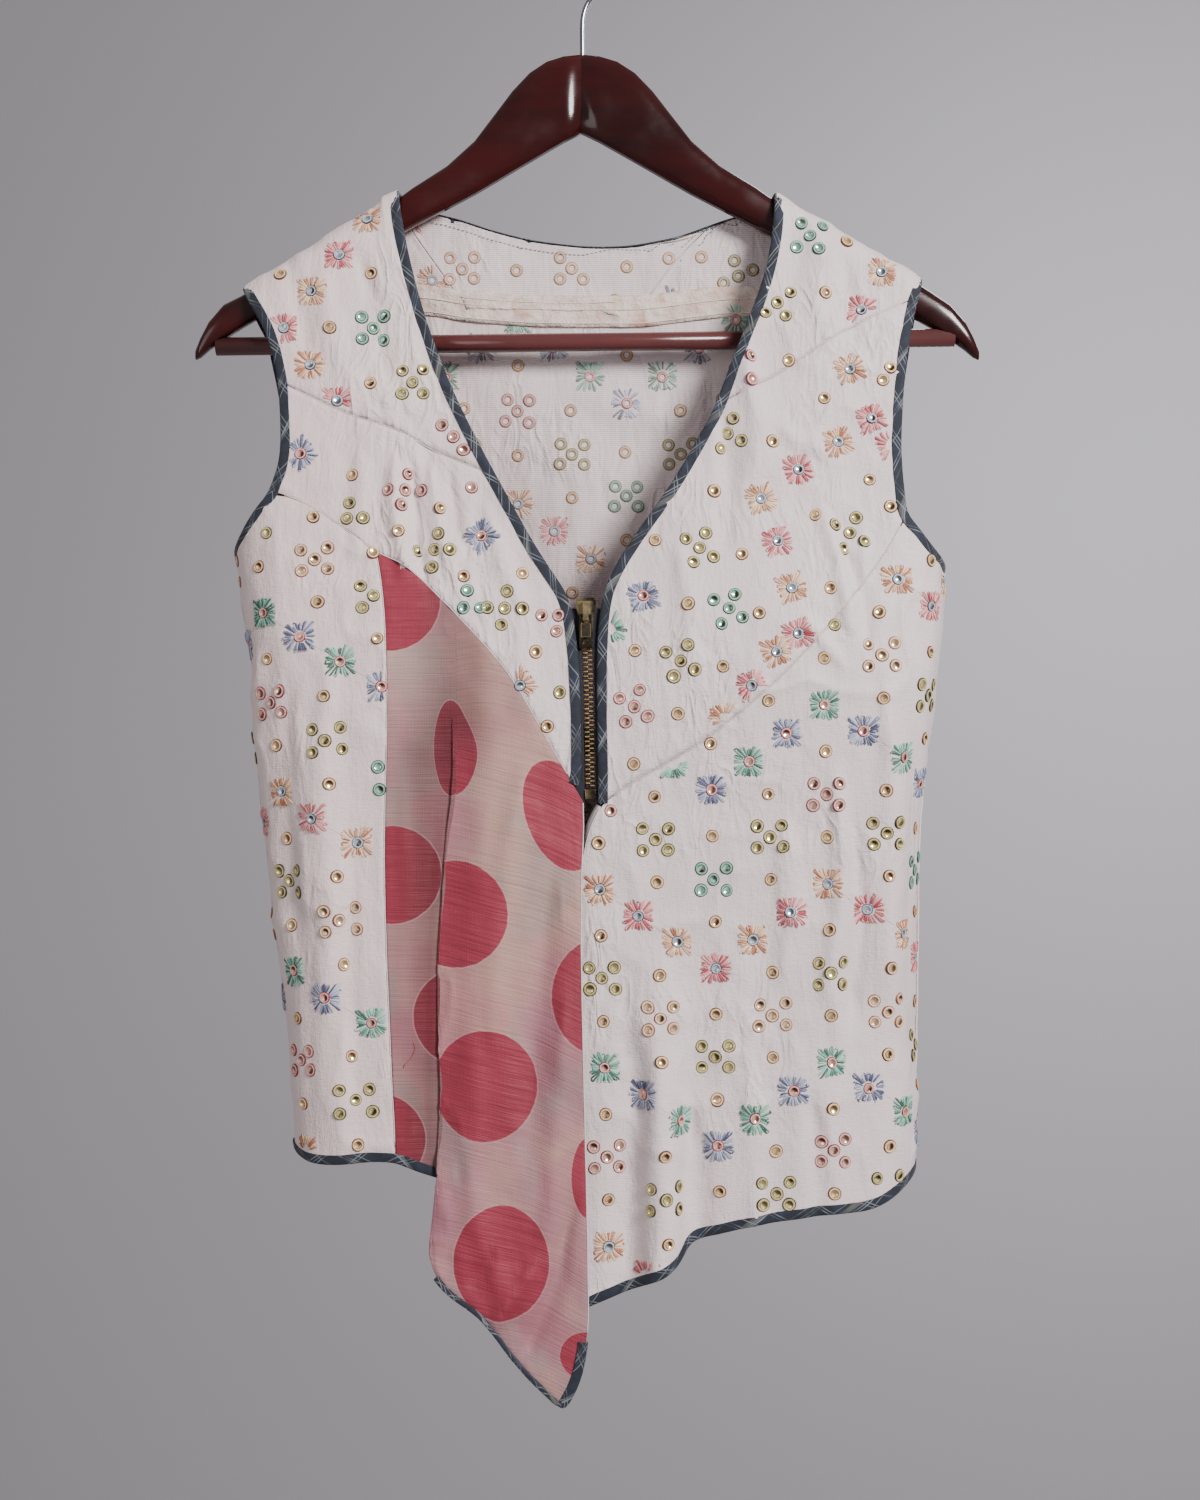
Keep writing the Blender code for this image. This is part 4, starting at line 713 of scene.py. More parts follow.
def uvMap(obj, u, v):
    # keeps the unrolled place of each point, in metres
    layer = obj.data.uv_layers.new(name="flat")
    index = np.empty(len(obj.data.loops), np.int32)
    obj.data.loops.foreach_get("vertex_index", index)
    pairs = np.stack([u[index], v[index]], axis=1).astype(np.float32)
    layer.data.foreach_set("uv", pairs.ravel())


def makeCloth():
    # every panel's skin with its creases, and what later pieces need to know of it
    skins, turned, panels = {}, {}, {}
    for name in cloth["front"] + cloth["back"]:
        skins[name], turned[name] = skinOf(name)
    bands = unroll(skins)
    for name, obj in skins.items():
        points, normals = pointsOf(obj), normalsOf(obj)
        loops, inward = rimOf(obj)
        rim = KDTree(sum(map(len, loops)))
        for loop in loops:
            for i in loop:
                rim.insert(points[i], i)
        rim.balance()
        nearest = [rim.find(p) for p in points]
        edge = np.array([hit[2] for hit in nearest]) / mm
        edgePoint = np.array([hit[0] for hit in nearest])
        side = "back" if name in cloth["back"] else "front"
        u = aroundBody(points, side, bands) if name in wrap["bent"] else points[:, 0]
        v = points[:, 2].copy()
        facing = normals[:, 1]
        if name == "drape_panel":
            layer, fold, base = drapeLayers(obj, points)
            top = rise(points[:, 2], *flap["plainTop"])
            low, high = flap["plainNear"]
            layer *= 1 - top * (1 - rise(points[:, 0], fold + low, fold + high))
            attribute = obj.data.attributes.new("layer", "FLOAT", "POINT")
            attribute.data.foreach_set("value", layer.astype(np.float32))
            tilt = (0.26 + 0.16 * rise(points[:, 0], -0.04, 0.01)) * layer
            v = v + (points[:, 0] + 0.04) * tilt
            facing = -np.ones(len(points))
            lift = rumple(points, facing, edge, edgePoint)
            lift *= 0.45 + 0.55 * layer
            push = np.zeros_like(points)
            push[:, 1] = -lift * mm
            moved = settle(points, fold, base, edge) + push
        else:
            moved = points + normals * (rumple(points, facing, edge, edgePoint) * mm)[:, None]
        uvMap(obj, u, v)
        obj.data.vertices.foreach_set("co", moved.astype(np.float32).ravel())
        obj.data.update()
        panels[name] = {
            "obj": obj, "before": points, "points": moved, "normals": normalsOf(obj), "loops": loops,
            "inward": inward, "u": u, "side": side, "flipped": turned[name], "rim": edge,
        }
        print("cloth", name, len(points), "points")
    return panels


def thicken(panels, faces):
    # faces gives each panel the finishes of its right and wrong sides
    for name, panel in panels.items():
        for finish in faces[name]:
            panel["obj"].data.materials.append(finish.material)
        apply(panel["obj"], "SOLIDIFY", "wall", thickness=cloth["thick"] * mm, material_offset=1,
              offset=1.0 if panel["flipped"] else -1.0, use_even_offset=False)
        smooth(panel["obj"])


panels = makeCloth()


# edge bindings: bias strips folded round the raw edges

tape = {
    "beyond": 1.3, "step": 3.0, "ends": 1.4, "turned": 5.1,
    "reach": 0.0022,  # a raw edge this near to a binding's solid is held by it, in metres
    "corner": {"bend": 32, "within": 0.020, "before": 0.0024, "after": 0.0034},  # degrees, metres
    "closes": 0.008, "farthest": 0.03,  # gaps between the ends of stretches, in metres
    "section": [  # across the strip: distance into the cloth, and height over its middle, in mm
        (4.45, 0.50), (4.30, 0.98), (3.30, 1.20), (1.90, 1.38), (0.50, 1.45), (-0.60, 1.25), (-1.15, 0.70),
        (-1.30, 0.0), (-1.15, -0.70), (-0.60, -1.25), (0.50, -1.40), (1.90, -1.32), (3.30, -1.15),
        (4.30, -0.95), (4.45, -0.50),
    ],
    "holds": {  # the panels whose raw edges each strip covers, the first one carrying it
        "neck_binding": ["front_yoke_right", "front_bust_right", "front_yoke_left", "front_bust_left",
                         "back_shoulder_right", "back_yoke", "back_shoulder_left"],
        "armhole_binding_right": ["side_panel_right", "front_yoke_right", "front_bust_right",
                                  "back_shoulder_right", "back_panel"],
        "armhole_binding_left": ["front_bust_left", "front_yoke_left", "front_lower_left",
                                 "back_shoulder_left", "back_panel"],
        "hem_binding_right": ["side_panel_right", "drape_panel"], "hem_binding_drape": ["drape_panel"],
        "hem_binding_left": ["front_lower_left"], "hem_binding_back": ["back_panel"],
    },
}


def stretches(loop, wanted, least):
    # the wanted stretches of a ring that have more points than the least
    if all(wanted):
        return [loop + loop[:1]]
    start = list(wanted).index(False)
    runs, run = [], []
    for k in range(1, len(loop) + 1):
        at = (start + k) % len(loop)
        if wanted[at]:
            run.append(loop[at])
            continue
        if len(run) > least:
            runs.append(run)
        run = []
    return runs


def heldBy(tree, spot):
    return tree.find_nearest(Vector(spot), tape["reach"])[0] is not None


def runsBy(name, panels):
    # the stretches of every panel's raw edge that this binding holds
    tree = treeOf(name)
    runs = []
    for panel in [panels[held] for held in tape["holds"][name]]:
        for loop in panel["loops"]:
            held = [heldBy(tree, panel["before"][i]) for i in loop]
            runs += [(panel, run) for run in stretches(loop, held, 5)]
    lines = []
    for panel, run in runs:
        run = squared(panel["before"], run)
        spots = panel["points"][run]
        middle = -panel["normals"][run] * cloth["thick"] / 2 * mm
        into = np.array([panel["inward"][i][:] for i in run])
        lines.append([spots + middle, panel["normals"][run], into])
    return lines


def lengthsOf(points):
    # how far along a run of points each one lies
    return np.concatenate([[0], np.cumsum(np.linalg.norm(np.diff(points, axis=0), axis=1))])


def squared(points, run):
    # the run without the stretch that turns the corner into a seam
    spots = points[run]
    if np.linalg.norm(spots[0] - spots[-1]) < 1e-6:
        return run
    ends, corner = [], tape["corner"]
    for order in (spots, spots[::-1]):
        far = lengthsOf(order)
        cut, sharpest = 0, math.radians(corner["bend"])
        last = int(np.searchsorted(far, min(corner["within"], far[-1] * 0.45)))
        for k in range(1, min(last, len(order) - 3)):
            before = max(int(np.searchsorted(far, far[k] - corner["before"])) - 1, 0)
            after = min(int(np.searchsorted(far, far[k] + corner["after"])), len(order) - 1)
            turn = Vector(order[k] - order[before]).angle(Vector(order[after] - order[k]), 0)
            if turn > sharpest:
                cut, sharpest = k, turn
        ends.append(cut)
    return run[ends[0]:len(run) - ends[1]]


def meeting(first, second):
    # how many points to drop where one stretch ends and the next begins, so that both stop at their seam
    tail, head = first[::-1], second
    reach = [int(np.searchsorted(np.cumsum(np.linalg.norm(np.diff(some, axis=0), axis=1)), 0.020)) + 1
             for some in (tail, head)]
    apart = np.linalg.norm(tail[:reach[0], None] - head[None, :reach[1]], axis=2)
    count = np.arange(len(apart))[:, None] + np.arange(apart.shape[1])[None]
    score = np.where(apart < 0.0009, -1.0 * count, apart * 1000 + 0.05 * count)
    return np.unravel_index(score.argmin(), score.shape)


def chain(lines):
    # the stretches end to end, each turned to start where the last one stopped
    lines = sorted(lines, key=lambda line: -len(line[0]))
    done = lines.pop(0)
    while lines:
        best = None
        for k, line in enumerate(lines):
            for atEnd in (True, False):
                for flip in (False, True):
                    tip = done[0][-1] if atEnd else done[0][0]
                    start = line[0][-1] if (flip == atEnd) else line[0][0]
                    gap = np.linalg.norm(tip - start)
                    if best is None or gap < best[0]:
                        best = (gap, k, atEnd, flip)
        gap, k, atEnd, flip = best
        line = lines.pop(k)
        if gap > tape["farthest"]:
            continue
        if flip:
            line = [part[::-1] for part in line]
        first, second = (done, line) if atEnd else (line, done)
        i, j = meeting(first[0], second[0])
        done = [np.vstack([a[:len(a) - i], b[j:]]) for a, b in zip(first, second)]
    return done


def evened(values, window, closed):
    # each value averaged with those beside it along the run
    kernel = np.hanning(window + 2)[1:-1]
    kernel /= kernel.sum()
    half = window // 2
    padded = np.concatenate([values[-half:], values, values[:half]]) if closed else np.pad(
        values, ((half, half), (0, 0)), "edge")
    return np.stack([np.convolve(padded[:, k], kernel, "valid") for k in range(values.shape[1])], axis=1)


def resampled(line, step, closed):
    # the same line in even steps, and how far along each step lies
    spots = line[0]
    spans = np.linalg.norm(np.diff(spots, axis=0), axis=1)
    keep = np.concatenate([[True], spans > 1e-5])
    line = [part[keep] for part in line]
    run = lengthsOf(line[0])
    count = max(int(run[-1] / step), 8)
    at = np.linspace(0, run[-1], count + 1)
    if closed:
        at = at[:-1]
    return [np.stack([np.interp(at, run, part[:, k]) for k in range(3)], axis=1) for part in line], at


def steadied(ways, closed):
    # the corner of a panel may face the wrong way, so its neighbours decide there
    for _ in range(3):
        around = unit(evened(ways, 31, closed))
        ways = np.where((ways * around).sum(1)[:, None] < 0.86, around, ways)
    return evened(ways, 9, closed)


def makeBinding(name, panels, finish):
    # one strip folded round the edges it holds, with its length in its map
    line = chain(runsBy(name, panels))
    closed = np.linalg.norm(line[0][0] - line[0][-1]) < tape["closes"]
    if closed:
        i, j = meeting(line[0], line[0][:len(line[0]) // 2])
        line = [part[j:len(part) - i] for part in line]
        line = [np.vstack([part, part[:1]]) for part in line]
    (spots, lean, into), at = resampled(line, tape["step"] * mm, closed)
    window = 3 if name.startswith("hem") else 9
    spots = evened(spots, window, closed)
    lean, into = evened(lean, 5, closed), evened(into, 5, closed)
    if window > 3:
        lean, into = steadied(lean, closed), steadied(into, closed)
    ahead = np.roll(spots, -1, axis=0) - np.roll(spots, 1, axis=0)
    if not closed:
        ahead[0], ahead[-1] = spots[1] - spots[0], spots[-1] - spots[-2]
    ahead = unit(ahead)
    if name == "neck_binding":  # its ends reach just past the corners of the cloth
        spots[0] -= ahead[0] * tape["ends"] * mm
        spots[-1] += ahead[-1] * tape["ends"] * mm
    lean -= ahead * (lean * ahead).sum(1)[:, None]
    lean = unit(lean)
    into -= ahead * (into * ahead).sum(1)[:, None] + lean * (into * lean).sum(1)[:, None]
    into = unit(into)
    plump = 1 + 0.10 * roll(spots, 0.014)
    wide = 1 + 0.06 * roll(spots + 2, 0.022)
    tilt = 0.16 * roll(spots + 4, 0.045)
    section = np.array(tape["section"])
    around = lengthsOf(section)
    points = []
    for i in range(len(spots)):
        for deep, high in section:
            a = (deep + tape["beyond"]) * wide[i] - tape["beyond"]
            if name == "neck_binding" and high < 0:  # behind, the strip is all turned to the outside
                a = min(a, section[0, 0] - tape["turned"] * rise(lean[i, 1], 0.3, 0.8))
            h = high * plump[i] + tilt[i] * (2.0 - a) * 0.5
            points.append(spots[i] + into[i] * a * mm + lean[i] * h * mm)
    size, count = len(section), len(spots)
    faces, us = [], []
    for i in range(count if closed else count - 1):
        for k in range(size):
            a, b = i * size + k, i * size + (k + 1) % size
            c, d = (i + 1) % count * size + (k + 1) % size, (i + 1) % count * size + k
            faces.append((a, b, c, d))
            left, right = at[i], at[i + 1] if i + 1 < count else at[i] + tape["step"] * mm
            low, high = around[k] * mm, (around[k + 1] if k + 1 < size else around[k] + 1) * mm
            us += [(left, low), (left, high), (right, high), (right, low)]
    if not closed:
        faces.append(tuple(range(size))[::-1])
        faces.append(tuple((count - 1) * size + k for k in range(size)))
        us += [(0, around[k] * mm) for k in range(size)][::-1]
        us += [(at[-1], around[k] * mm) for k in range(size)]
    obj = meshFrom(name + "_tape", points, faces)
    layer = obj.data.uv_layers.new(name="flat")
    layer.data.foreach_set("uv", np.array(us, np.float32).ravel())
    evenNormals(obj)
    smooth(obj, 55)
    dress(obj, finish, replaces=[name])
    print("binding", name, "closed" if closed else "open", round(at[-1], 3), "m")
    return obj


def checkedCotton():
    # denim-blue cotton cut on the slant, with fine pale lines in uneven groups
    finish = Finish("checkedBias", Roughness=0.8, Sheen_Weight=0.12)
    at = finish.place("UV")
    length = finish.axis(at)
    across = finish.axis(at, 1)
    wander = finish.noise(at, 40.0, 2.0) * 0.006
    slant = length + across * 1.9 + wander
    other = length - across * 1.5 + wander
    lines = None
    for line, pitch, wide, start, strong in (
        (slant, 0.0307, 0.012, 0.0, 0.9), (slant, 0.0307, 0.010, 0.0031, 0.7),
        (slant, 0.0231, 0.011, 0.013, 0.8), (other, 0.0263, 0.013, 0.004, 0.7),
        (other, 0.0263, 0.010, 0.0072, 0.6), (other, 0.0411, 0.008, 0.021, 0.8),
    ):
        place = ((line + start) / pitch).part()
        here = finish.steps((place - 0.5).size(), wide, wide * 2.1, strong, 0.0)
        lines = here if lines is None else lines.larger(here)
    lines = lines * finish.steps(finish.noise(at, 95.0, 2.0), 0.34, 0.60, 0.15, 1.0)
    band = finish.steps((((slant + 0.009) / 0.0571).part() - 0.5).size(), 0.035, 0.075, 0.55, 0.0)
    band = band * finish.steps(finish.noise(at, 30.0, 1.0), 0.42, 0.58)
    worn = finish.noise(at, 130.0, 4.0, 0.65)
    tones = (0.25, linear((11, 14, 24))), (0.5, linear((20, 26, 40))), (0.8, linear((36, 45, 66)))
    blue = finish.ramp(worn, *tones)
    blue = finish.mix(band, blue, linear((100, 102, 96)))
    finish.set("Base Color", finish.mix(lines * 0.75, blue, linear((140, 146, 150))))
    weave = finish.noise(finish.place("UV", (1500, 1500, 1)), 1.0, 1.0)
    finish.set("Normal", finish.bump(weave + finish.noise(at, 260.0, 2.0) * 2.0, 0.00025, 0.7))
    return finish


# the two cloths

def creamSilk(back=False):
    # pale crinkled silk, cooler towards the hem, with a fine crepe grain
    name = "embroideredSilkInside" if back else "embroideredSilk"
    finish = Finish(name, Roughness=0.62, Sheen_Weight=0.25, Sheen_Roughness=0.4)
    at = finish.place("Object")
    flat = finish.place("UV")
    soft = finish.noise(at, 7.0, 3.0, 0.55)
    tones = (0.30, linear((212, 196, 196))), (0.55, linear((221, 205, 205))), (0.80, linear((228, 213, 212)))
    base = finish.ramp(soft, *tones)
    warm = finish.steps(finish.axis(at), -0.20, 0.02, 0.5, 0.0)
    base = finish.mix(warm, base, linear((228, 200, 198)))
    yarn = finish.noise(finish.place("UV", (170, 1500, 1)), 1.0, 2.0)
    other = finish.noise(finish.place("UV", (1500, 170, 1)), 1.0, 2.0)
    base = finish.over(base, (186, 172, 174), yarn, 0.55, 0.78, 0.0, 0.22)
    crepe = finish.noise(flat, 420.0, 3.0, 0.6)
    grain = finish.bump(yarn + other + crepe * 1.6, 0.00030, 0.8)
    if back:  # fine ribs run across the wrong side
        height = finish.axis(flat, 1)
        rib = ((height / 0.00115).part() - 0.5).size() * 2.0
        base = finish.over(base, (160, 148, 156), rib, 0.2, 0.8, 0.0, 0.16)
        grain = finish.bump(rib + yarn * 0.6, 0.00022, 0.9)
    finish.set("Base Color", base)
    folds = finish.noise(flat, 105.0, 3.0, 0.55, 0.9)
    pulls = 1.0 - (folds * 2.0 - 1.0).size()
    long = finish.noise(finish.place("UV", (150, 34, 1)), 1.0, 3.0, 0.55, 0.7)
    drawn = 1.0 - (finish.noise(finish.place("UV", (88, 30, 1)), 1.0, 1.0, 0.5, 1.2) * 2.0 - 1.0).size()
    patches = finish.steps(finish.noise(at, 14.0, 1.0), 0.42, 0.62, 0.15, 1.0)
    height = pulls * pulls * patches * 0.35 + long * 0.8 + drawn * drawn * patches * 1.3
    finish.set("Normal", finish.bump(height, 0.0013, 0.7, grain))
    finish.set("Roughness", finish.steps(crepe, 0.3, 0.7, 0.52, 0.70))
    return finish


spots = {  # centre x and z, half width, half height, in mm, and how far each leans
    "flap": [(-73.5, -472.2, 15.3, 26.8, 0), (-12.3, -510.1, 19.4, 31, 0.23), (-71.2, -565.4, 30, 30, 0),
             (14.2, -611.4, 31, 34, 0), (-54.1, -661.5, 29.2, 31, 0), (-44.8, -760.0, 26.8, 32, 0),
             (4.8, -712.5, 10.5, 23, 0), (1.9, -811.7, 14, 13, 0), (-45.3, -422.0, 3.2, 14, 0.73)],
    "strip": [(-107.2, -390.1, 27.6, 27.6, 0), (-73.5, -472.2, 9.4, 26.8, 0), (-106.6, -543.6, 27.6, 27.6, 0),
              (-67.8, -623.4, 27, 27, 0), (-113.4, -692.6, 25.5, 25.5, 0)],
    "coral": (142, 37, 58), "shade": (146, 100, 103), "thread": (188, 146, 146),
}


def nearSpots(finish, at, group):
    # how far outside the nearest printed dot a point is, as a share of the dot's size
    x = finish.axis(at)
    z = finish.axis(at, 2)
    nearest = None
    for cx, cz, wide, tall, lean in spots[group]:
        dx = (x + z * lean - (cx + cz * lean) * mm) * (1 / (wide * mm))
        dz = (z - cz * mm) * (1 / (tall * mm))
        away = (dx * dx + dz * dz).root()
        nearest = away if nearest is None else nearest.smaller(away)
    return nearest


def spottedSlub():
    # rose slubbed silk with coral spots, in two layers where it is folded
    finish = Finish("spottedSlub", Roughness=0.66, Sheen_Weight=0.12, Sheen_Roughness=0.45)
    at = finish.place("Object")
    wobble = finish.noise(at, 240.0, 2.0) * 0.03 - 0.015
    layer = finish.attribute("layer", "Fac")
    above = nearSpots(finish, at, "flap") + wobble
    below = nearSpots(finish, at, "strip") + wobble
    away = above * layer + below * (1 - layer)
    dot = finish.steps(away, 0.985, 1.012, 1.0, 0.0)
    ring = finish.steps((away - 1.012).size(), 0.008, 0.02, 1.0, 0.0)
    slub = finish.noise(finish.place("UV", (20, 560, 1)), 1.0, 3.0, 0.6)
    fine = finish.noise(finish.place("UV", (60, 1900, 1)), 1.0, 2.0, 0.6)
    upright = finish.noise(finish.place("UV", (1800, 60, 1)), 1.0, 2.0)
    broad = finish.noise(finish.place("UV", (5, 70, 1)), 1.0, 2.0)
    patchy = finish.noise(at, 15.0, 2.0, 0.5, 0.4)
    cloudy = finish.noise(finish.place("Object", (1, 1, 0.6)), 26.0, 2.0, 0.5, 0.6)
    ground = finish.mix(finish.steps(patchy, 0.36, 0.66), linear((160, 104, 114)), linear((172, 134, 122)))
    ground = finish.over(ground, (142, 126, 122), cloudy, 0.46, 0.66, 0.0, 0.6)
    ground = finish.over(ground, spots["shade"], slub, 0.48, 0.76, 0.0, 0.45)
    ground = finish.over(ground, (150, 106, 120), broad, 0.45, 0.75, 0.0, 0.25)
    ground = finish.over(ground, spots["thread"], fine, 0.60, 0.80, 0.0, 0.50)
    ground = finish.over(ground, (190, 152, 146), slub, 0.34, 0.22, 0.0, 0.4)
    coral = finish.mix(finish.steps(slub, 0.40, 0.72), linear(spots["coral"]), linear((126, 30, 50)))
    coral = finish.over(coral, (184, 82, 96), fine, 0.58, 0.80, 0.0, 0.45)
    ghost = finish.steps(below, 0.98, 1.04, 0.20, 0.0) * layer * finish.steps(broad, 0.3, 0.6, 0.4, 1.0)
    ground = finish.mix(ghost, ground, linear((190, 96, 106)))
    base = finish.mix(dot, ground, coral)
    base = finish.over(base, (200, 168, 166), patchy, 0.50, 0.25, 0.0, 0.30, blend="MULTIPLY")
    side = finish.axis(at)
    up = finish.axis(at, 2)
    high = finish.steps(up, -0.480, -0.430)
    shaded = finish.steps(side, -0.112, -0.086) * (1.0 - layer) * (1.0 - high)
    base = finish.mix(shaded * 0.75, base, linear((166, 144, 144)), "MULTIPLY")
    # painted shadow: the cloth is darkened in the soft dip beside the upper part of the fold
    paintedDipShadow = finish.steps((side + 0.068).size(), 0.004, 0.030, 1.0, 0.0) * finish.steps(up, -0.500, -0.455)
    base = finish.mix(paintedDipShadow * 0.62, base, linear((152, 132, 132)), "MULTIPLY")
    # painted light: left of the fold, near the top and outside the dots, the cloth is made lighter
    edge = finish.steps(side, -0.116, -0.084, 0.5, 0.0) * high * (1.0 - dot)
    base = finish.mix(edge, base, linear((196, 166, 160)))
    base = finish.mix(ring * 0.22, base, linear((198, 150, 150)))
    finish.set("Base Color", base)
    finish.set("Normal", finish.bump(slub * 2.0 + fine + upright * 0.6, 0.00035, 0.8))
    finish.set("Roughness", finish.steps(slub, 0.3, 0.7, 0.55, 0.75))
    return finish


silk, wrongSide, slub, bias = creamSilk(), creamSilk(True), spottedSlub(), checkedCotton()
bindings = {name: makeBinding(name, panels, bias) for name in tape["holds"]}


# embroidery: thread rings round domed sequins, open-stitched flowers and the threads between them

thread = {  # each thread where it lies in shade, and where it catches the light
    "green": ((38, 96, 76), (150, 208, 186)), "blue": ((66, 72, 106), (180, 186, 210)),
    "pink": ((150, 54, 64), (244, 178, 172)), "peach": ((176, 100, 64), (250, 212, 174)),
    "gold": ((66, 50, 12), (206, 192, 124)), "silver": ((70, 80, 102), (190, 200, 216)),
    "deepGreen": ((26, 74, 56), (140, 198, 170)), "rose": ((176, 58, 74), (244, 170, 170)),
    "single": ((126, 58, 24), (252, 206, 150)),
}
# sequin colours: a bright metal colour, and a dark one that is a painted dark reflection
sequin = {"bright": (255, 244, 214), "paintedDarkReflection": (58, 38, 18), "cool": (236, 246, 244)}
motif = {
    "ring": 3.95, "hole": 1.70, "stand": 0.95, "sequin": 1.95, "centre": 3.5,
    "spread": (7.1, 6.1), "petals": 16, "reach": 8.9, "start": 3.2, "leaf": 0.85, "yarn": 0.50,
    "clear": 2.1, "ringRim": 1.5, "stitchRim": 1.6, "linkRim": 3, "link": 0.12,
    "through": (226, 208, 200), "linkTone": (196, 176, 170),
    "cool": ("green", "blue", "silver", "deepGreen"),
}
chart = {  # the repeat of the pattern, in mm
    "period": 129.0, "row": 102.0, "fall": 15.6, "single": (0.26, 0.74), "cluster": 0.5,
    "rows": 8, "flowers": 30, "clusters": 20,  # how far the repeat is carried each way
    "zigzag": (("green", "blue"), ("peach", "rose")),
    "between": (("pink", "gold", "deepGreen", "gold"), ("gold", "peach", "gold", "peach")),
    "unrolled": ["front_lower_left", "side_panel_right", "back_panel"],
    "panels": {  # a peak of the pattern, its turn in degrees, the height of a row, and what it starts with
        "front_lower_left": ((136.5, -447.9), 1.5, 0.985, "green", "peak"),
        "side_panel_right": ((-180.6, -395.7), 4.3, 1.0, "green", "peak"),
        "front_yoke_right": ((-171.0, -231.4), -90.0, 1.0, "pink", "valley"),
        "back_panel": ((-38.5, -218.7), 0.0, 1.06, "green", "peak"),
        "back_yoke": ((-38.5, -218.7), 0.0, 1.06, "green", "peak"),
        "back_shoulder_right": ((-171.0, -190.0), -63.0, 1.0, "green", "peak"),
        "back_shoulder_left": ((131.0, -177.6), 63.0, 1.0, "pink", "peak"),
    },
}
placed = {  # what is charted one by one, where the panels are cut across the pattern
    "front_bust_left": {
        "turn": -73,
        "flower": [("rose", 165, -284.6), ("peach", 145.7, -298.2), ("rose", 123, -314.1),
                   ("peach", 101.5, -331.1), ("rose", 110.6, -355.5), ("peach", 117.9, -382.1),
                   ("rose", 121.3, -408.1), ("peach", 108.9, -418.3), ("rose", 95.3, -437),
                   ("peach", 80.6, -455.7), ("blue", 34.7, -386.6), ("green", 16, -405.3),
                   ("peach", 153.1, -255.7), ("rose", 176, -300)],
        "cluster": [("gold", 82.8, -293.1), ("gold", 66.4, -359.4), ("gold", 151.4, -350.9),
                    ("gold", 55.6, -423.4), ("deepGreen", 82.3, -394), ("pink", 29, -448.9)],
        "single": [("single", x, z) for x, z in (
            (108.3, -298.2), (74.9, -326.6), (41.5, -354.9), (90.2, -362.8), (59.6, -391.1), (99.8, -396.8),
            (163.3, -319.8), (174.6, -335.6), (132.1, -340.2), (140, -382.1), (30.1, -417.8), (79.4, -426.3),
            (53.9, -452.9), (29.6, -480.7), (176.3, -254.6), (138.3, -272.7), (172.0, -262.0))],
    },
    "front_bust_right": {
        "turn": 40,
        "flower": [("blue", -159.7, -305), ("blue", -56.6, -352.6), ("peach", -34.5, -437)],
        "cluster": [("pink", -100.2, -326), ("gold", -133, -342.4), ("gold", -83.2, -360.6),
                    ("gold", -43.5, -393.4), ("deepGreen", -66.2, -393.4), ("pink", -12.9, -397.9)],
        "single": [("single", x, z) for x, z in (
            (-130.2, -317.5), (-79.8, -336.8), (-154, -345.3), (-103, -350.4), (-66.2, -375.3),
            (-33.9, -373.6), (-26, -417.8), (-19.2, -460.8), (-69.0, -306.0))] + [
                ("gold", -12.4, -440.4), ("pink", -62.6, -324.5)],
    },
    "front_yoke_left": {
        "turn": 80,
        "flower": [("peach", 172.3, -198.5), ("rose", 160.4, -220.6)],
        "cluster": [("deepGreen", 131, -177.6), ("gold", 112.3, -216.7), ("deepGreen", 115.7, -264.2)],
        "single": [("single", 139.5, -211.6), ("single", 117.9, -250.6), ("single", 152.5, -180.4),
                   ("pink", 96.4, -248.4), ("pink", 97, -262.5)],
    },
}


class Ground:
    # finds places on one panel by how far round it they are, or how far across where it is nearly flat
    def __init__(self, panel, plain):
        data = panel["obj"].data
        across = panel["before"][:, 0] if plain else panel["u"]
        flat = [(u, v, 0.0) for u, v in zip(across, panel["before"][:, 2])]
        self.faces = [tuple(p.vertices) for p in data.polygons]
        self.flat = np.array(flat)
        self.points, self.normals = panel["points"], panel["normals"]
        self.tree = BVHTree.FromPolygons(flat, self.faces)
        self.rim = panel["rim"]
        tapes = [v.co for piece in bindings.values() for v in piece.data.vertices]
        self.tapes = KDTree(len(tapes))
        for i, spot in enumerate(tapes):
            self.tapes.insert(spot, i)
        self.tapes.balance()

    def at(self, u, v):
        # the point, its outward normal, and how far from the raw edge it is in mm; none under a binding
        hit = self.tree.ray_cast(Vector((u, v, 1.0)), Vector((0, 0, -1)))
        if hit[0] is None:
            return None
        corners = list(self.faces[hit[2]])
        away = np.hypot(self.flat[corners, 0] - u, self.flat[corners, 1] - v)
        share = 1 / (away ** 2 + 1e-12)
        share /= share.sum()
        place = (self.points[corners] * share[:, None]).sum(0)
        lean = (self.normals[corners] * share[:, None]).sum(0)
        if self.tapes.find(Vector(place))[2] < motif["clear"] * mm:
            return None
        return place, lean / np.linalg.norm(lean), self.rim[corners].min()


class Stitching:
    # gathers thread and sequins for one panel
    def __init__(self):
        self.points, self.faces, self.tints = [], [], []
        self.count = 0

    def add(self, points, faces, tint):
        self.points.append(points)
        self.faces += [tuple(self.count + i for i in f) for f in faces]
        tint = np.asarray(tint)
        self.tints.append(tint if tint.ndim == 2 else np.tile(tint, (len(points), 1)))
        self.count += len(points)

    def build(self, name, finish):
        if not self.count:
            return None
        obj = meshFrom(name, np.vstack(self.points), self.faces)
        layer = obj.data.color_attributes.new("tint", "FLOAT_COLOR", "POINT")
        tints = np.vstack(self.tints)
        solid = np.hstack([tints, np.ones((len(tints), 1))])
        layer.data.foreach_set("color", solid.astype(np.float32).ravel())
        smooth(obj)
        dress(obj, finish)
        return obj


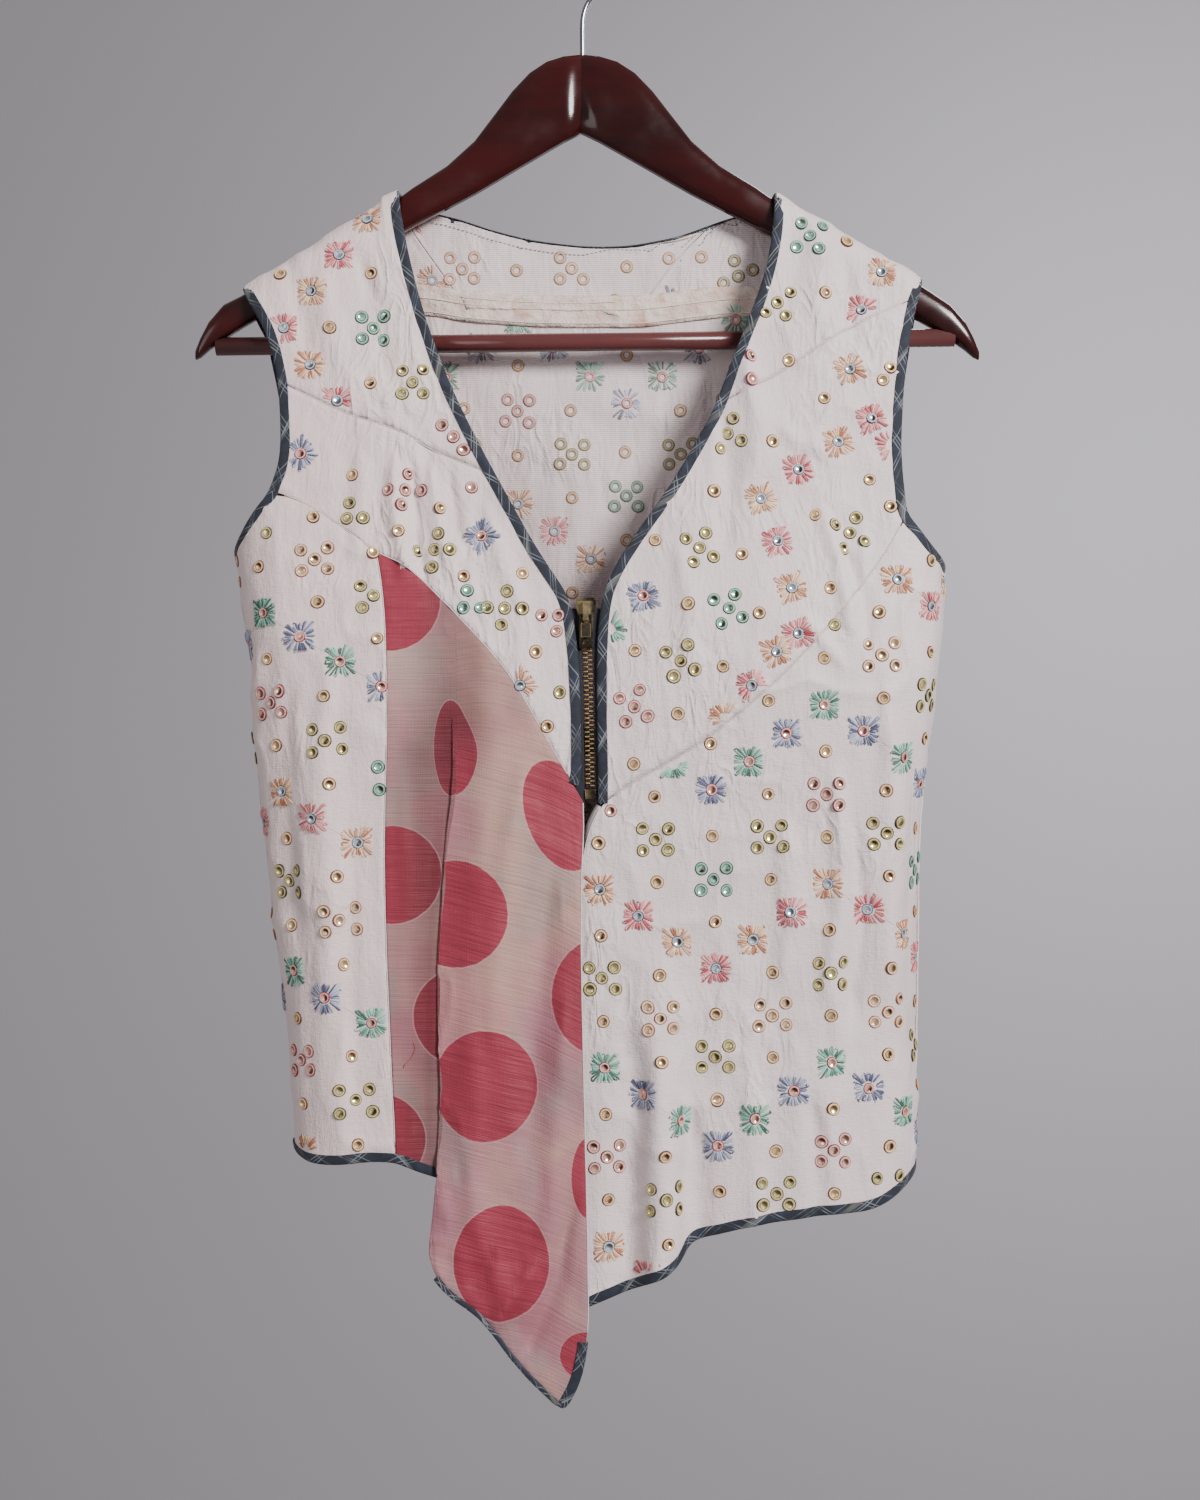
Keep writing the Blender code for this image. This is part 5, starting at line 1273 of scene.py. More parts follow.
def ringShape(outer, inner, stand, sides=14):
    # a low round of satin stitch, open underneath: points across, up and out, in mm, and how far each is lit
    middle, half = (outer + inner) / 2, (outer - inner) / 2
    section = ((half, -0.2, -0.6), (half * 0.58, stand * 0.66, -0.35), (half * 0.05, stand, 1.2),
               (-half * 0.50, stand * 0.72, 0.45), (-half, -0.1, -0.6))
    points, faces, lit = [], [], []
    for k in range(sides):
        turn = 2 * math.pi * k / sides
        for across, out, light in section:
            points.append(((middle + across) * math.cos(turn), (middle + across) * math.sin(turn), out))
            lit.append(light)
    for k in range(sides):
        for j in range(4):
            a, b = k * 5 + j, (k + 1) % sides * 5 + j
            faces.append((a, b, b + 1, a + 1))
    return np.array(points), faces, np.array(lit)[:, None]


def sequinShape(size, sides=9):
    # a small dished disc, lowest in its middle
    points, faces = [(0, 0, 0.16)], []
    for far, out in ((0.45, 0.20), (1.0, 0.58)):
        for k in range(sides):
            turn = 2 * math.pi * (k + 0.5) / sides
            points.append((size * far * math.cos(turn), size * far * math.sin(turn), out))
    for k in range(sides):
        after = (k + 1) % sides
        faces.append((0, 1 + k, 1 + after))
        faces.append((1 + k, 1 + sides + k, 1 + sides + after, 1 + after))
    return np.array(points), faces


def stitchShape(line, yarn):
    # one laid thread through three points: across, up and out, in mm
    line = np.array(line, float)
    run = line[-1] - line[0]
    side = np.array([-run[1], run[0], 0.0])
    side /= np.linalg.norm(side)
    up = np.array([0, 0, 1.0])
    points, faces = [line[0]], []
    for spot in line[1:-1]:
        points += [spot + side * yarn, spot + up * yarn * 0.9, spot - side * yarn]
    points.append(line[-1])
    rings = len(line) - 2
    for j in range(2):
        faces.append((0, 2 + j, 1 + j))
        last = 1 + (rings - 1) * 3
        faces.append((len(points) - 1, last + j, last + j + 1))
    for ring in range(rings - 1):
        for j in range(2):
            a = 1 + ring * 3 + j
            faces.append((a, a + 1, a + 4, a + 3))
    return np.array(points), faces


ringWhole = ringShape(motif["ring"], motif["hole"], motif["stand"])
ringSmall = ringShape(motif["centre"], motif["hole"] * 0.92, motif["stand"])
sequinWhole = sequinShape(motif["sequin"])


def onto(ground, u, v, turn, shape):
    # lays a flat shape at one place of a panel, turned in the cloth; None where the cloth ends
    hit = ground.at(u * mm, v * mm)
    if hit is None:
        return None
    place, lean, _ = hit
    across = np.cross([0, 0, 1.0], lean)
    across = across if np.linalg.norm(across) > 1e-6 else np.array([1.0, 0, 0])
    across /= np.linalg.norm(across)
    if lean[1] > 0:
        across = -across
    up = np.cross(lean, across)
    if up[2] < 0:
        up = -up
    c, s = math.cos(turn), math.sin(turn)
    wide = across * c + up * s
    tall = up * c - across * s
    return place + (shape[:, :1] * wide + shape[:, 1:2] * tall + shape[:, 2:] * lean) * mm


def facedOut(points, faces, lean):
    # keeps faces pointing out of the cloth
    a, b, c = (points[i] for i in faces[0][:3])
    return faces if np.cross(b - a, c - a) @ lean > 0 else [f[::-1] for f in faces]


def addRing(work, ground, tone, u, v, rng, small=False):
    # a thread ring with a cupped sequin in it, and its wrong side where that is seen
    hit = ground.at(u * mm, v * mm)
    if hit is None or hit[2] < motif["ringRim"]:
        return
    shade, light = (np.array(linear(c)) * rng.uniform(0.88, 1.1) for c in thread[tone])
    shape, faces, lit = ringSmall if small else ringWhole
    size = rng.uniform(0.94, 1.05)
    stretch = np.array([size * rng.uniform(0.95, 1.05), size * rng.uniform(0.95, 1.05), 1.0])
    turn = rng.uniform(0, 6.28)
    points = onto(ground, u, v, turn, shape * stretch)
    twist = rng.uniform(0.8, 1.12, (len(lit) // 5, 1)).repeat(5, axis=0)
    tints = np.maximum(shade + (light - shade) * lit, shade * 0.5) * twist
    work["thread"].add(points, facedOut(points, faces, hit[1]), tints)
    disc, discFaces = sequinWhole
    tipped = disc.copy()
    tipped[:, 2] += tipped[:, 0] * rng.uniform(-0.14, 0.14) + tipped[:, 1] * rng.uniform(-0.14, 0.14)
    points = onto(ground, u, v, turn, tipped * [size, size, 1])
    # painted reflection: one side of each sequin is painted dark, as the cup would mirror dark surroundings;
    # the rest keeps its bright metal colour
    dark = rng.uniform(-0.9, 1.5) - turn
    far = (disc[:, 0] * math.cos(dark) + disc[:, 1] * math.sin(dark)) / motif["sequin"]
    share = rise(far, -0.45, 0.25)[:, None]
    bright = np.array(linear(sequin["cool" if tone in motif["cool"] else "bright"]))
    bright = bright * (0.45 + 0.55 * light / light.max())
    paintedDarkReflection = np.array(linear(sequin["paintedDarkReflection"]))
    tints = bright + (paintedDarkReflection - bright) * share * rng.choice([0.55, 0.9, 1.0])
    work["sequins"].add(points, facedOut(points, discFaces, hit[1]), tints)
    if work["inside"] is not None:
        addInside(work, ground, (shade + light) / 2, u, v, ringSmall if small else ringWhole, turn)


def addInside(work, ground, colour, u, v, shape, turn):
    # the same round seen on the wrong side: flatter and paler
    points, faces, lit = shape
    low = points * [0.97, 0.97, 0.0]
    low[:, 2] = -(cloth["thick"] + 0.2 + np.maximum(points[:, 2], 0) * 0.5)
    laid = onto(ground, u, v, turn, low)
    if laid is not None:
        lean = ground.at(u * mm, v * mm)[1]
        pale = np.array(linear(motif["through"]))
        tints = (colour * 0.78 + pale * 0.18) * (0.70 + 0.4 * lit)
        work["inside"].add(laid, facedOut(laid, faces, -lean), tints)


def addStitch(work, ground, tone, u, v, turn, line, rng):
    # one laid thread of a flower, and its wrong side where that is seen
    middle = np.array(line).mean(0)
    c, s = math.cos(turn), math.sin(turn)
    uu, vv = u + middle[0] * c - middle[1] * s, v + middle[0] * s + middle[1] * c
    hit = ground.at(uu * mm, vv * mm)
    if hit is None or hit[2] < motif["stitchRim"]:
        return
    shape, faces = stitchShape(np.array(line) - [middle[0], middle[1], 0], motif["yarn"])
    laid = onto(ground, uu, vv, turn, shape)
    shade, light = (np.array(linear(c)) for c in thread[tone])
    share = rng.choice([0.05, 0.35, 0.8, 1.0])
    colour = (shade + (light - shade) * share) * rng.uniform(0.9, 1.1)
    work["thread"].add(laid, facedOut(laid, faces, hit[1]), colour)
    if work["inside"] is not None and rng.random() < 0.95:
        back = shape.copy()
        back[:, 2] = -(cloth["thick"] + 0.12 + np.abs(shape[:, 2]) * 0.4)
        laid = onto(ground, uu, vv, turn, back)
        pale = colour * 0.78 + np.array(linear(motif["through"])) * 0.16
        work["inside"].add(laid, facedOut(laid, faces, -hit[1]), pale)


def addFlower(work, ground, tone, u, v, turn, rng):
    # open leaves all round, longest at the corners of a square
    centre = {"green": "pink", "deepGreen": "pink", "blue": "rose"}.get(tone, "silver")
    addRing(work, ground, centre, u, v, rng, small=True)
    for k in range(motif["petals"]):
        angle = 2 * math.pi * k / motif["petals"] + rng.uniform(-0.05, 0.05)
        square = 1 / max(abs(math.cos(angle)), abs(math.sin(angle)))
        reach = motif["reach"] * min(square, 1.28) * rng.uniform(0.90, 1.04)
        start = motif["start"] * rng.uniform(0.92, 1.1)
        c, s = math.cos(angle), math.sin(angle)
        for side in (-1, 1):
            swell = motif["leaf"] * side * rng.uniform(0.6, 1.2)
            far = reach * rng.uniform(0.93, 1.03)
            near, wide = start + 0.7, swell * 0.35
            line = [(start * c, start * s, 0.30), (near * c - wide * s, near * s + wide * c, 0.45),
                    ((far - 1.3) * c - swell * s, (far - 1.3) * s + swell * c, 0.40),
                    (far * c - swell * 0.4 * s, far * s + swell * 0.4 * c, 0.05)]
            addStitch(work, ground, tone, u, v, turn, line, rng)
        if rng.random() < 0.7:  # a short thread across the leaf near its tip
            tip, half = reach * rng.uniform(0.76, 0.96), rng.uniform(0.9, 1.5)
            skew = rng.uniform(-0.7, 0.7)
            line = [(tip * c + half * s, tip * s - half * c, 0.25), (tip * c, tip * s, 0.55),
                    ((tip + skew) * c - half * s, (tip + skew) * s + half * c, 0.25)]
            addStitch(work, ground, tone, u, v, turn, line, rng)


def addCluster(work, ground, tone, u, v, turn, rng):
    # five rings, one in the middle
    c, s = math.cos(turn), math.sin(turn)
    wide, tall = motif["spread"]
    for x, y in ((0, 0), (-wide, tall), (wide, tall), (-wide, -tall), (wide, -tall)):
        x, y = x * rng.uniform(0.95, 1.05), y * rng.uniform(0.95, 1.05)
        addRing(work, ground, tone, u + x * c - y * s, v + x * s + y * c, rng)


def addLink(work, ground, u0, v0, u1, v1, rng):
    # a fine loose thread between two neighbouring flowers
    far = math.hypot(u1 - u0, v1 - v0)
    turn = math.atan2(v1 - v0, u1 - u0)
    half = far / 2 - motif["reach"] * 0.9
    if half < 1:
        return
    line = [(-half, 0, 0.02), (0, rng.uniform(-0.4, 0.4), 0.1), (half, 0, 0.02)]
    shape, faces = stitchShape(line, motif["link"])
    u, v = (u0 + u1) / 2, (v0 + v1) / 2
    laid, hit = onto(ground, u, v, turn, shape), ground.at(u * mm, v * mm)
    if laid is not None and hit[2] > motif["linkRim"]:
        work["thread"].add(laid, facedOut(laid, faces, hit[1]), np.array(linear(motif["linkTone"])))


def chartRepeat(work, ground, name, rng):
    # zigzags of flowers over the whole panel, with clusters and single rings between them
    (u0, v0), turn, tall, tone, at = chart["panels"][name]
    turn = math.radians(turn)
    period, row, fall = chart["period"], chart["row"] * tall, chart["fall"] * tall
    c, s = math.cos(turn), math.sin(turn)
    place = lambda a, b: (u0 + a * c - b * s, v0 + a * s + b * c)
    shift = 0.0 if at == "peak" else -period / 2
    rise0 = 0.0 if at == "peak" else fall * 3
    odd = 0 if tone == "green" else 1
    for j in range(-chart["rows"], chart["rows"] + 1):
        pale = (j + odd) % 2
        tones, clusters = chart["zigzag"][pale], chart["between"][pale]
        base = rise0 - j * row
        before = None
        for i in range(-chart["flowers"], chart["flowers"] + 1):
            step = i % 6
            a = shift + i * period / 6
            b = base - fall * min(step, 6 - step)
            u, v = place(a, b)
            addFlower(work, ground, tones[i % 2], u, v, turn, rng)
            if before is not None:
                addLink(work, ground, *before, u, v, rng)
            before = (u, v)
        for i in range(-chart["clusters"], chart["clusters"] + 1):
            a = shift + i * period / 4
            b = base - fall * (0, 1.5, 3, 1.5)[i % 4]
            addCluster(work, ground, clusters[i % 4], *place(a, b - chart["cluster"] * row), turn, rng)
            for share in chart["single"]:
                addRing(work, ground, "single", *place(a, b - share * row), rng)


def makeEmbroidery(panels):
    # thread and sequins on every panel but the spotted one
    yarn = Finish("embroideryThread", Roughness=0.42, Sheen_Weight=0.4, Sheen_Roughness=0.3,
                  Coat_Roughness=0.3)
    tint = yarn.attribute("tint")
    fibre = yarn.noise(yarn.place("Object", (1, 1, 1)), 2600.0, 2.0)
    furrow = yarn.steps(fibre, 0.35, 0.75, 0.0, 0.28)
    yarn.set("Base Color", yarn.mix(furrow, tint, (0.06, 0.045, 0.045), "MULTIPLY"))
    yarn.set("Normal", yarn.bump(fibre, 0.0003, 0.8))
    shiny = Finish("cuppedSequin", Metallic=0.6, Roughness=0.18, Coat_Weight=0.5, Coat_Roughness=0.08)
    glint = shiny.attribute("tint")
    cloudy = shiny.noise(shiny.place(), 900.0, 1.0)
    stain = shiny.steps(cloudy, 0.56, 0.70, 0.0, 0.35)
    shiny.set("Base Color", shiny.mix(stain, glint, linear((120, 84, 48))))
    made = {}
    for name, panel in panels.items():
        if name == "drape_panel":
            continue
        rng = np.random.default_rng(sum(map(ord, name)))
        ground = Ground(panel, name not in chart["unrolled"])
        behind = panel["side"] == "back"
        work = {"thread": Stitching(), "sequins": Stitching(), "inside": Stitching() if behind else None}
        if name in chart["panels"]:
            chartRepeat(work, ground, name, rng)
        else:
            chosen = placed[name]
            turn = math.radians(chosen["turn"])
            for tone, x, z in chosen["flower"]:
                addFlower(work, ground, tone, x, z, turn, rng)
            for tone, x, z in chosen["cluster"]:
                addCluster(work, ground, tone, x, z, turn, rng)
            for tone, x, z in chosen["single"]:
                addRing(work, ground, tone, x, z, rng)
        made[name] = []
        for kind, finish in (("thread", yarn), ("sequins", shiny), ("inside", yarn)):
            obj = work[kind].build(name + "_" + kind, finish) if work[kind] else None
            if obj:
                made[name].append(obj)
        print("embroidery", name, [len(obj.data.polygons) for obj in made[name]])
    return made


embroidery = makeEmbroidery(panels)


# sewing: seam threads, pressed seam allowances inside the neck, stitches and one loose thread

sewing = {
    "thread": 0.5, "pressed": 3.2, "neckRow": 4.4, "stitch": 1.5, "gap": 1.1, "near": 1.6, "rows": 9,
    "allowances": {  # on the wrong side of the back: its panel, the way its seam faces, how far each way
        "yokeAllowance": ("back_panel", (0, 1), 12.5, 5.5),
        "slantAllowanceRight": ("back_yoke", (-0.8, -0.6), 5.0, 7.0),
        "slantAllowanceLeft": ("back_yoke", (0.75, -0.65), 5.0, 7.0),
    },
}


def seamRuns(panels, names):
    # raw edges that meet another panel, each seam taken once
    taken, runs = [], []
    trees = [treeOf(name) for name in tape["holds"]]
    near = sewing["near"] * mm
    for name in names:
        panel = panels[name]
        for loop in panel["loops"]:
            free = []
            for i in loop:
                held = any(heldBy(tree, panel["before"][i]) for tree in trees)
                here = panel["points"][i]
                known = any(np.linalg.norm(others - here, axis=1).min() < near for others in taken)
                free.append(not held and not known)
            runs += [(name, run) for run in stretches(loop, free, 8)]
        taken += [panel["points"][run] for owner, run in runs if owner == name]
    return runs


def cord(spots, lean, radius, squash=0.6):
    # a fine cord of four sides along a run of points
    ahead = np.gradient(spots, axis=0)
    ahead /= np.linalg.norm(ahead, axis=1)[:, None] + 1e-12
    side = np.cross(ahead, lean)
    side /= np.linalg.norm(side, axis=1)[:, None] + 1e-12
    points, faces = [], []
    for p, a, b in zip(spots, side, lean):
        points += [p + a * radius, p + b * radius * squash, p - a * radius, p - b * radius * squash]
    for i in range(len(spots) - 1):
        for k in range(4):
            a, b = i * 4 + k, i * 4 + (k + 1) % 4
            faces.append((a, b, b + 4, a + 4))
    faces += [(3, 2, 1, 0), tuple(len(points) - 4 + k for k in range(4))]
    return np.array(points), faces


def joined(name, parts, finish):
    points, faces, count = [], [], 0
    for some, their in parts:
        points.append(some)
        faces += [tuple(count + i for i in f) for f in their]
        count += len(some)
    obj = meshFrom(name, np.vstack(points), faces)
    evenNormals(obj)
    smooth(obj)
    dress(obj, finish)
    return obj


def sewingThread(name, colour):
    finish = Finish(name, Roughness=0.6, Sheen_Weight=0.3)
    twist = finish.noise(finish.place(), 1900.0, 2.0)
    finish.set("Base Color", finish.mix(twist, linear(colour), tuple(c * 0.72 for c in linear(colour))))
    finish.set("Normal", finish.bump(twist, 0.0002, 0.6))
    return finish


def sewSeams(panels):
    # a fine uneven thread along every seam, outside
    pale = sewingThread("paleThread", (226, 212, 208))
    parts = []
    for name, run in seamRuns(panels, cloth["front"] + cloth["back"]):
        panel = panels[name]
        spots = panel["points"][run]
        into = np.array([panel["inward"][i][:] for i in run])
        if len(spots) < 12:
            continue
        lean = evened(panel["normals"][run], 5, False)
        spots = evened(spots, 5, False) - into * 0.15 * mm
        wave = 0.75 + 0.35 * roll(spots, 0.004)
        keep = slice(None, None, 2)
        wide = sewing["thread"] * mm * wave[keep].mean()
        parts.append(cord(spots[keep] + lean[keep] * 0.10 * mm, lean[keep], wide, 0.55))
    print("seams", len(parts))
    return joined("seamThreads", parts, pale)


def backSeams(panels, finish):
    # the pressed edges of both panels, flat behind each seam of the front
    parts = []
    for name, run in seamRuns(panels, [n for n in cloth["front"] if n != "drape_panel"]):
        panel = panels[name]
        if len(run) < 12:
            continue
        lean = evened(panel["normals"][run], 7, False)
        spots = evened(panel["points"][run], 5, False)
        if np.linalg.norm(spots[0] - spots[-1]) < 5 * mm:
            continue
        first, last = spots[0] - spots[3], spots[-1] - spots[-4]
        spots = np.vstack([spots[0] + first / np.linalg.norm(first) * 1.0 * mm, spots,
                           spots[-1] + last / np.linalg.norm(last) * 1.0 * mm])
        lean = np.vstack([lean[:1], lean, lean[-1:]])
        line = spots - lean * (cloth["thick"] + 0.45) * mm
        parts.append(cord(line, lean, sewing["pressed"] * mm, 0.06))
    return joined("frontAllowances", parts, finish)


def sewAllowances(panels, finish):
    # the cut edges of two panels, pressed and caught down on the wrong side, with their edge a little frayed
    threads = []
    for label, (name, way, above, below) in sewing["allowances"].items():
        panel = panels[name]
        way = np.array(way) / np.linalg.norm(way)
        loop = max(panel["loops"], key=len)
        into = np.array([panel["inward"][i][:] for i in loop])
        facing = -(into[:, 0] * way[0] + into[:, 2] * way[1])
        runs = stretches(list(range(len(loop))), facing > 0.72, 0)
        if not runs:
            continue
        run = max(runs, key=len)
        spots = evened(panel["points"][[loop[k] for k in run]], 9, False)
        lean = unit(evened(panel["normals"][[loop[k] for k in run]], 9, False))
        into = unit(evened(into[run], 9, False))
        spots, lean, into = spots[::2], lean[::2], into[::2]
        rows, count = sewing["rows"], len(spots)
        points = []
        for i in range(count):
            here = spots[i:i + 1]
            frayed = 1 + 0.10 * roll(here, 0.0021)[0] + 0.10 * roll(here, 0.012)[0]
            for j in range(rows):
                share = j / (rows - 1)
                across = above - (above + below * frayed) * share
                place = spots[i] + into[i] * across * mm
                swell = 1 + roll(place[None], (0.0046, 0.02, 0.016))[0]
                lift = 0.35 + 0.95 * swell * (0.35 + abs(share - 0.3))
                points.append(place - lean[i] * (cloth["thick"] + 0.25 + lift * 0.55) * mm)
        faces = []
        for i in range(count - 1):
            for j in range(rows - 1):
                a = i * rows + j
                faces.append((a, a + 1, a + rows + 1, a + rows))
        strip = meshFrom(label, points, faces)
        apply(strip, "SOLIDIFY", "wall", thickness=0.25 * mm, offset=0.0)
        evenNormals(strip)
        smooth(strip)
        dress(strip, finish)
        for depth in ((2.4, 10.5) if label == "yokeAllowance" else (1.2,)):
            line = spots + into * depth * mm - lean * (cloth["thick"] + 1.15) * mm
            threads.append(cord(line, lean, 0.30 * mm))
    return threads


def allowanceCloth():
    finish = Finish("pressedAllowance", Roughness=0.72, Sheen_Weight=0.2)
    at = finish.place()
    soft = finish.noise(at, 130.0, 3.0)
    base = finish.mix(finish.steps(soft, 0.3, 0.7), linear((206, 182, 172)), linear((224, 206, 196)))
    tufts = finish.noise(at, 60.0, 2.0, 0.5, 1.0)
    base = finish.over(base, (204, 140, 126), tufts, 0.56, 0.70, 0.0, 0.7)
    finish.set("Base Color", base)
    weave = finish.noise(finish.place("Object", (1, 1, 1)), 1500.0, 1.0)
    finish.set("Normal", finish.bump(weave * 0.5 + soft * 3.0, 0.0011, 0.9))
    return finish


def neckStitches(panels):
    # the row of small stitches that holds the binding, seen inside the back neck
    parts = []
    tree = treeOf("neck_binding")
    for name in ("back_yoke", "back_shoulder_right", "back_shoulder_left"):
        panel = panels[name]
        loop = max(panel["loops"], key=len)
        held = [i for i in loop if heldBy(tree, panel["before"][i])]
        if len(held) < 10:
            continue
        around = panel["points"][held]
        gaps = np.linalg.norm(around - np.roll(around, -1, axis=0), axis=1)
        cut = int(np.argmax(gaps)) + 1
        held = held[cut:] + held[:cut]
        spots, lean = panel["points"][held], panel["normals"][held]
        into = np.array([panel["inward"][i][:] for i in held])
        spots = spots + into * sewing["neckRow"] * mm - lean * (cloth["thick"] + 0.12) * mm
        run = lengthsOf(spots)
        at = 0.0
        while at + sewing["stitch"] * mm < run[-1]:
            ends = np.linspace(at, at + sewing["stitch"] * mm, 3)
            line = np.stack([np.interp(ends, run, spots[:, k]) for k in range(3)], axis=1)
            up = np.stack([np.interp(ends, run, lean[:, k]) for k in range(3)], axis=1)
            parts.append(cord(line, up, 0.24 * mm, 0.8))
            at += (sewing["stitch"] + sewing["gap"]) * mm
    return joined("neckStitches", parts, sewingThread("blueThread", (120, 124, 142)))


def looseThread(finish):
    # one red end hanging off the spotted strip
    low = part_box("drape_panel")[0]
    line = [(-94.4, -638.0), (-93.6, -641.5), (-94.8, -644.6),
            (-96.4, -647.2), (-99.6, -650.4), (-100.2, -652.2)]
    x, z = np.array(line).T
    ground = BVHTree.FromPolygons([Vector(p) for p in panels["drape_panel"]["points"]],
                                  [tuple(p.vertices) for p in panels["drape_panel"]["obj"].data.polygons])
    spots, last = [], low.y
    for a, b in zip(x, z):
        hit = ground.ray_cast(Vector((a * mm, -0.2, b * mm)), Vector((0, 1, 0)))[0]
        last = hit.y if hit else last
        spots.append((a * mm, last - 0.5 * mm, b * mm))
    outward = np.tile([0.0, -1.0, 0.0], (len(spots), 1))
    laid = cord(np.array(spots), outward, 0.17 * mm, 1.0)
    return joined("looseThread", [laid], finish)


sewSeams(panels)
backSeams(panels, silk)
caught = sewAllowances(panels, allowanceCloth())
joined("allowanceThreads", caught, sewingThread("creamThread", (236, 224, 208)))
neckStitches(panels)
looseThread(sewingThread("redThread", (176, 52, 48)))
print("sewing ready")


sides = {name: (slub, slub) if name == "drape_panel" else (silk, wrongSide) for name in panels}
thicken(panels, sides)
for name, panel in panels.items():
    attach(panel["obj"], "waistcoat")
    "spotted_cloth" if name == "drape_panel" else "embroidered_cloth"
    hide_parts(name)
print("cloth and bindings ready")


# hanger: gloss mahogany, a turned bar and a bright wire hook

hanger = {
    "dark": (28, 5, 5), "red": (48, 8, 8), "warm": (64, 13, 11),
    "glue": 0.35, "glueGap": 0.02, "stoutDeep": 1.12, "stoutTall": 1.15,
}


def wood(name, lean, shade, grey=0.0):
    # lean turns the grain along the arm; shade tells the two halves apart; grey dulls the red
    finish = Finish(name, Roughness=0.30, Coat_Weight=0.3, Coat_Roughness=0.10, Specular_IOR_Level=0.25)
    grain = finish.place("Object", (9, 60, 74), (0, lean, 0))
    streak = finish.noise(grain, 1.0, 4.0, 0.6, 0.8)
    pores = finish.noise(finish.place("Object", (60, 900, 1500), (0, lean, 0)), 1.0, 2.0)
    broad = finish.noise(finish.place("Object", (3, 10, 16), (0, lean, 0)), 1.0, 2.0)
    tones = [tuple(c * shade + grey for c in linear(hanger[k])) for k in ("dark", "red", "warm")]
    base = finish.ramp(streak * 0.5 + broad * 0.5, (0.28, tones[0]), (0.52, tones[1]), (0.80, tones[2]))
    base = finish.over(base, (22, 7, 7), pores, 0.64, 0.76, 0.0, 0.4)
    worn = finish.noise(finish.place(), 46.0, 3.0)
    finish.set("Base Color", base)
    finish.set("Roughness", finish.steps(worn, 0.35, 0.75, 0.18, 0.36))
    finish.set("Normal", finish.bump(pores * -1.0 + streak * 0.5, 0.00012, 0.35))
    return finish


def brightSteel():
    finish = Finish("brightSteel", Metallic=1.0, Roughness=0.14)
    draw = finish.noise(finish.place("Object", (900, 900, 60)), 1.0, 2.0)
    finish.set("Base Color", finish.mix(draw, linear((176, 178, 184)), linear((120, 122, 130))))
    finish.set("Roughness", finish.steps(draw, 0.3, 0.7, 0.10, 0.22))
    return finish


def antiqueBrass(name="antiqueBrass", metal=0.9, tones=((38, 34, 28), (60, 54, 44), (90, 82, 64))):
    # darkened brass, worn bright on its raised edges, where a painted highlight is laid as well
    finish = Finish(name, Metallic=metal)
    at = finish.place()
    worn = finish.noise(at, 420.0, 4.0, 0.6)
    pointed = finish.node("ShaderNodeNewGeometry", output="Pointiness")
    # raised edges made lighter: partly wear, partly painted highlight
    wearAndHighlight = finish.steps(pointed, 0.56, 0.74)
    base = finish.ramp(worn, (0.3, linear(tones[0])), (0.6, linear(tones[1])), (0.85, linear(tones[2])))
    finish.set("Base Color", finish.mix(wearAndHighlight * 0.75, base, linear((202, 180, 132))))
    finish.set("Roughness", finish.steps(worn, 0.3, 0.8, 0.30, 0.48))
    finish.set("Normal", finish.bump(worn, 0.00005, 0.5))
    return finish


def copyOf(name, label, levels=0, angle=40):
    # a merged, softened copy of one solid, for a finish that needs whole faces
    bm = bmesh.new()
    bm.from_mesh(nodes[name].data)
    bmesh.ops.remove_doubles(bm, verts=bm.verts, dist=3e-6)
    obj = fromBmesh(label, bm)
    toQuads(obj, 30, 60)
    if levels:
        apply(obj, "SUBSURF", "rounding", levels=levels)
    smooth(obj, angle)
    return obj


def makeHanger():
    right = copyOf("hanger_arm_right", "armRightWood", 0, 32)
    left = copyOf("hanger_arm_left", "armLeftWood", 0, 32)
    meet = (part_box("hanger_arm_right")[1].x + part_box("hanger_arm_left")[0].x) / 2
    for arm, way in ((right, 1), (left, -1)):  # the mitred ends come up to the glue line
        for vertex in arm.data.vertices:
            if abs(vertex.co.x - meet) < hanger["glue"] * mm:
                vertex.co.x = meet - way * hanger["glueGap"] * mm
    dress(right, wood("mahoganyRight", math.radians(40), 1.0), replaces=["hanger_arm_right"])
    dress(left, wood("mahoganyLeft", math.radians(-38), 0.80), replaces=["hanger_arm_left"])
    bar = copyOf("hanger_bar", "barWood", 0, 50)
    low, high = (np.array(v[:]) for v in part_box("hanger_bar"))
    spots = pointsOf(bar)
    ends = [spots[np.abs(spots[:, 0] - x) < 20 * mm, 2] for x in (low[0], high[0])]
    slope = (ends[1].max() + ends[1].min() - ends[0].max() - ends[0].min()) / 2 / (high[0] - low[0])
    centre = (low + high) / 2
    for vertex in bar.data.vertices:  # a little stouter than its solid
        middle = centre[2] + slope * (vertex.co.x - centre[0])
        vertex.co.y = centre[1] + (vertex.co.y - centre[1]) * hanger["stoutDeep"]
        vertex.co.z = middle + (vertex.co.z - middle) * hanger["stoutTall"]
    dress(bar, wood("mahoganyBar", 0.0, 2.7, 0.022), replaces=["hanger_bar"])
    hook = copyOf("hanger_hook", "hookWire", 1, 60)
    dress(hook, brightSteel(), replaces=["hanger_hook"])
    print("hanger ready")


# zip: teeth, woven tapes, slider with its hinged tab, and a bottom stop

zipper = {
    "pitch": 2.62, "tooth": (2.4, 0.78, 1.3), "apart": 1.36,
    "foot": -494.0, "top": -407.0,
}


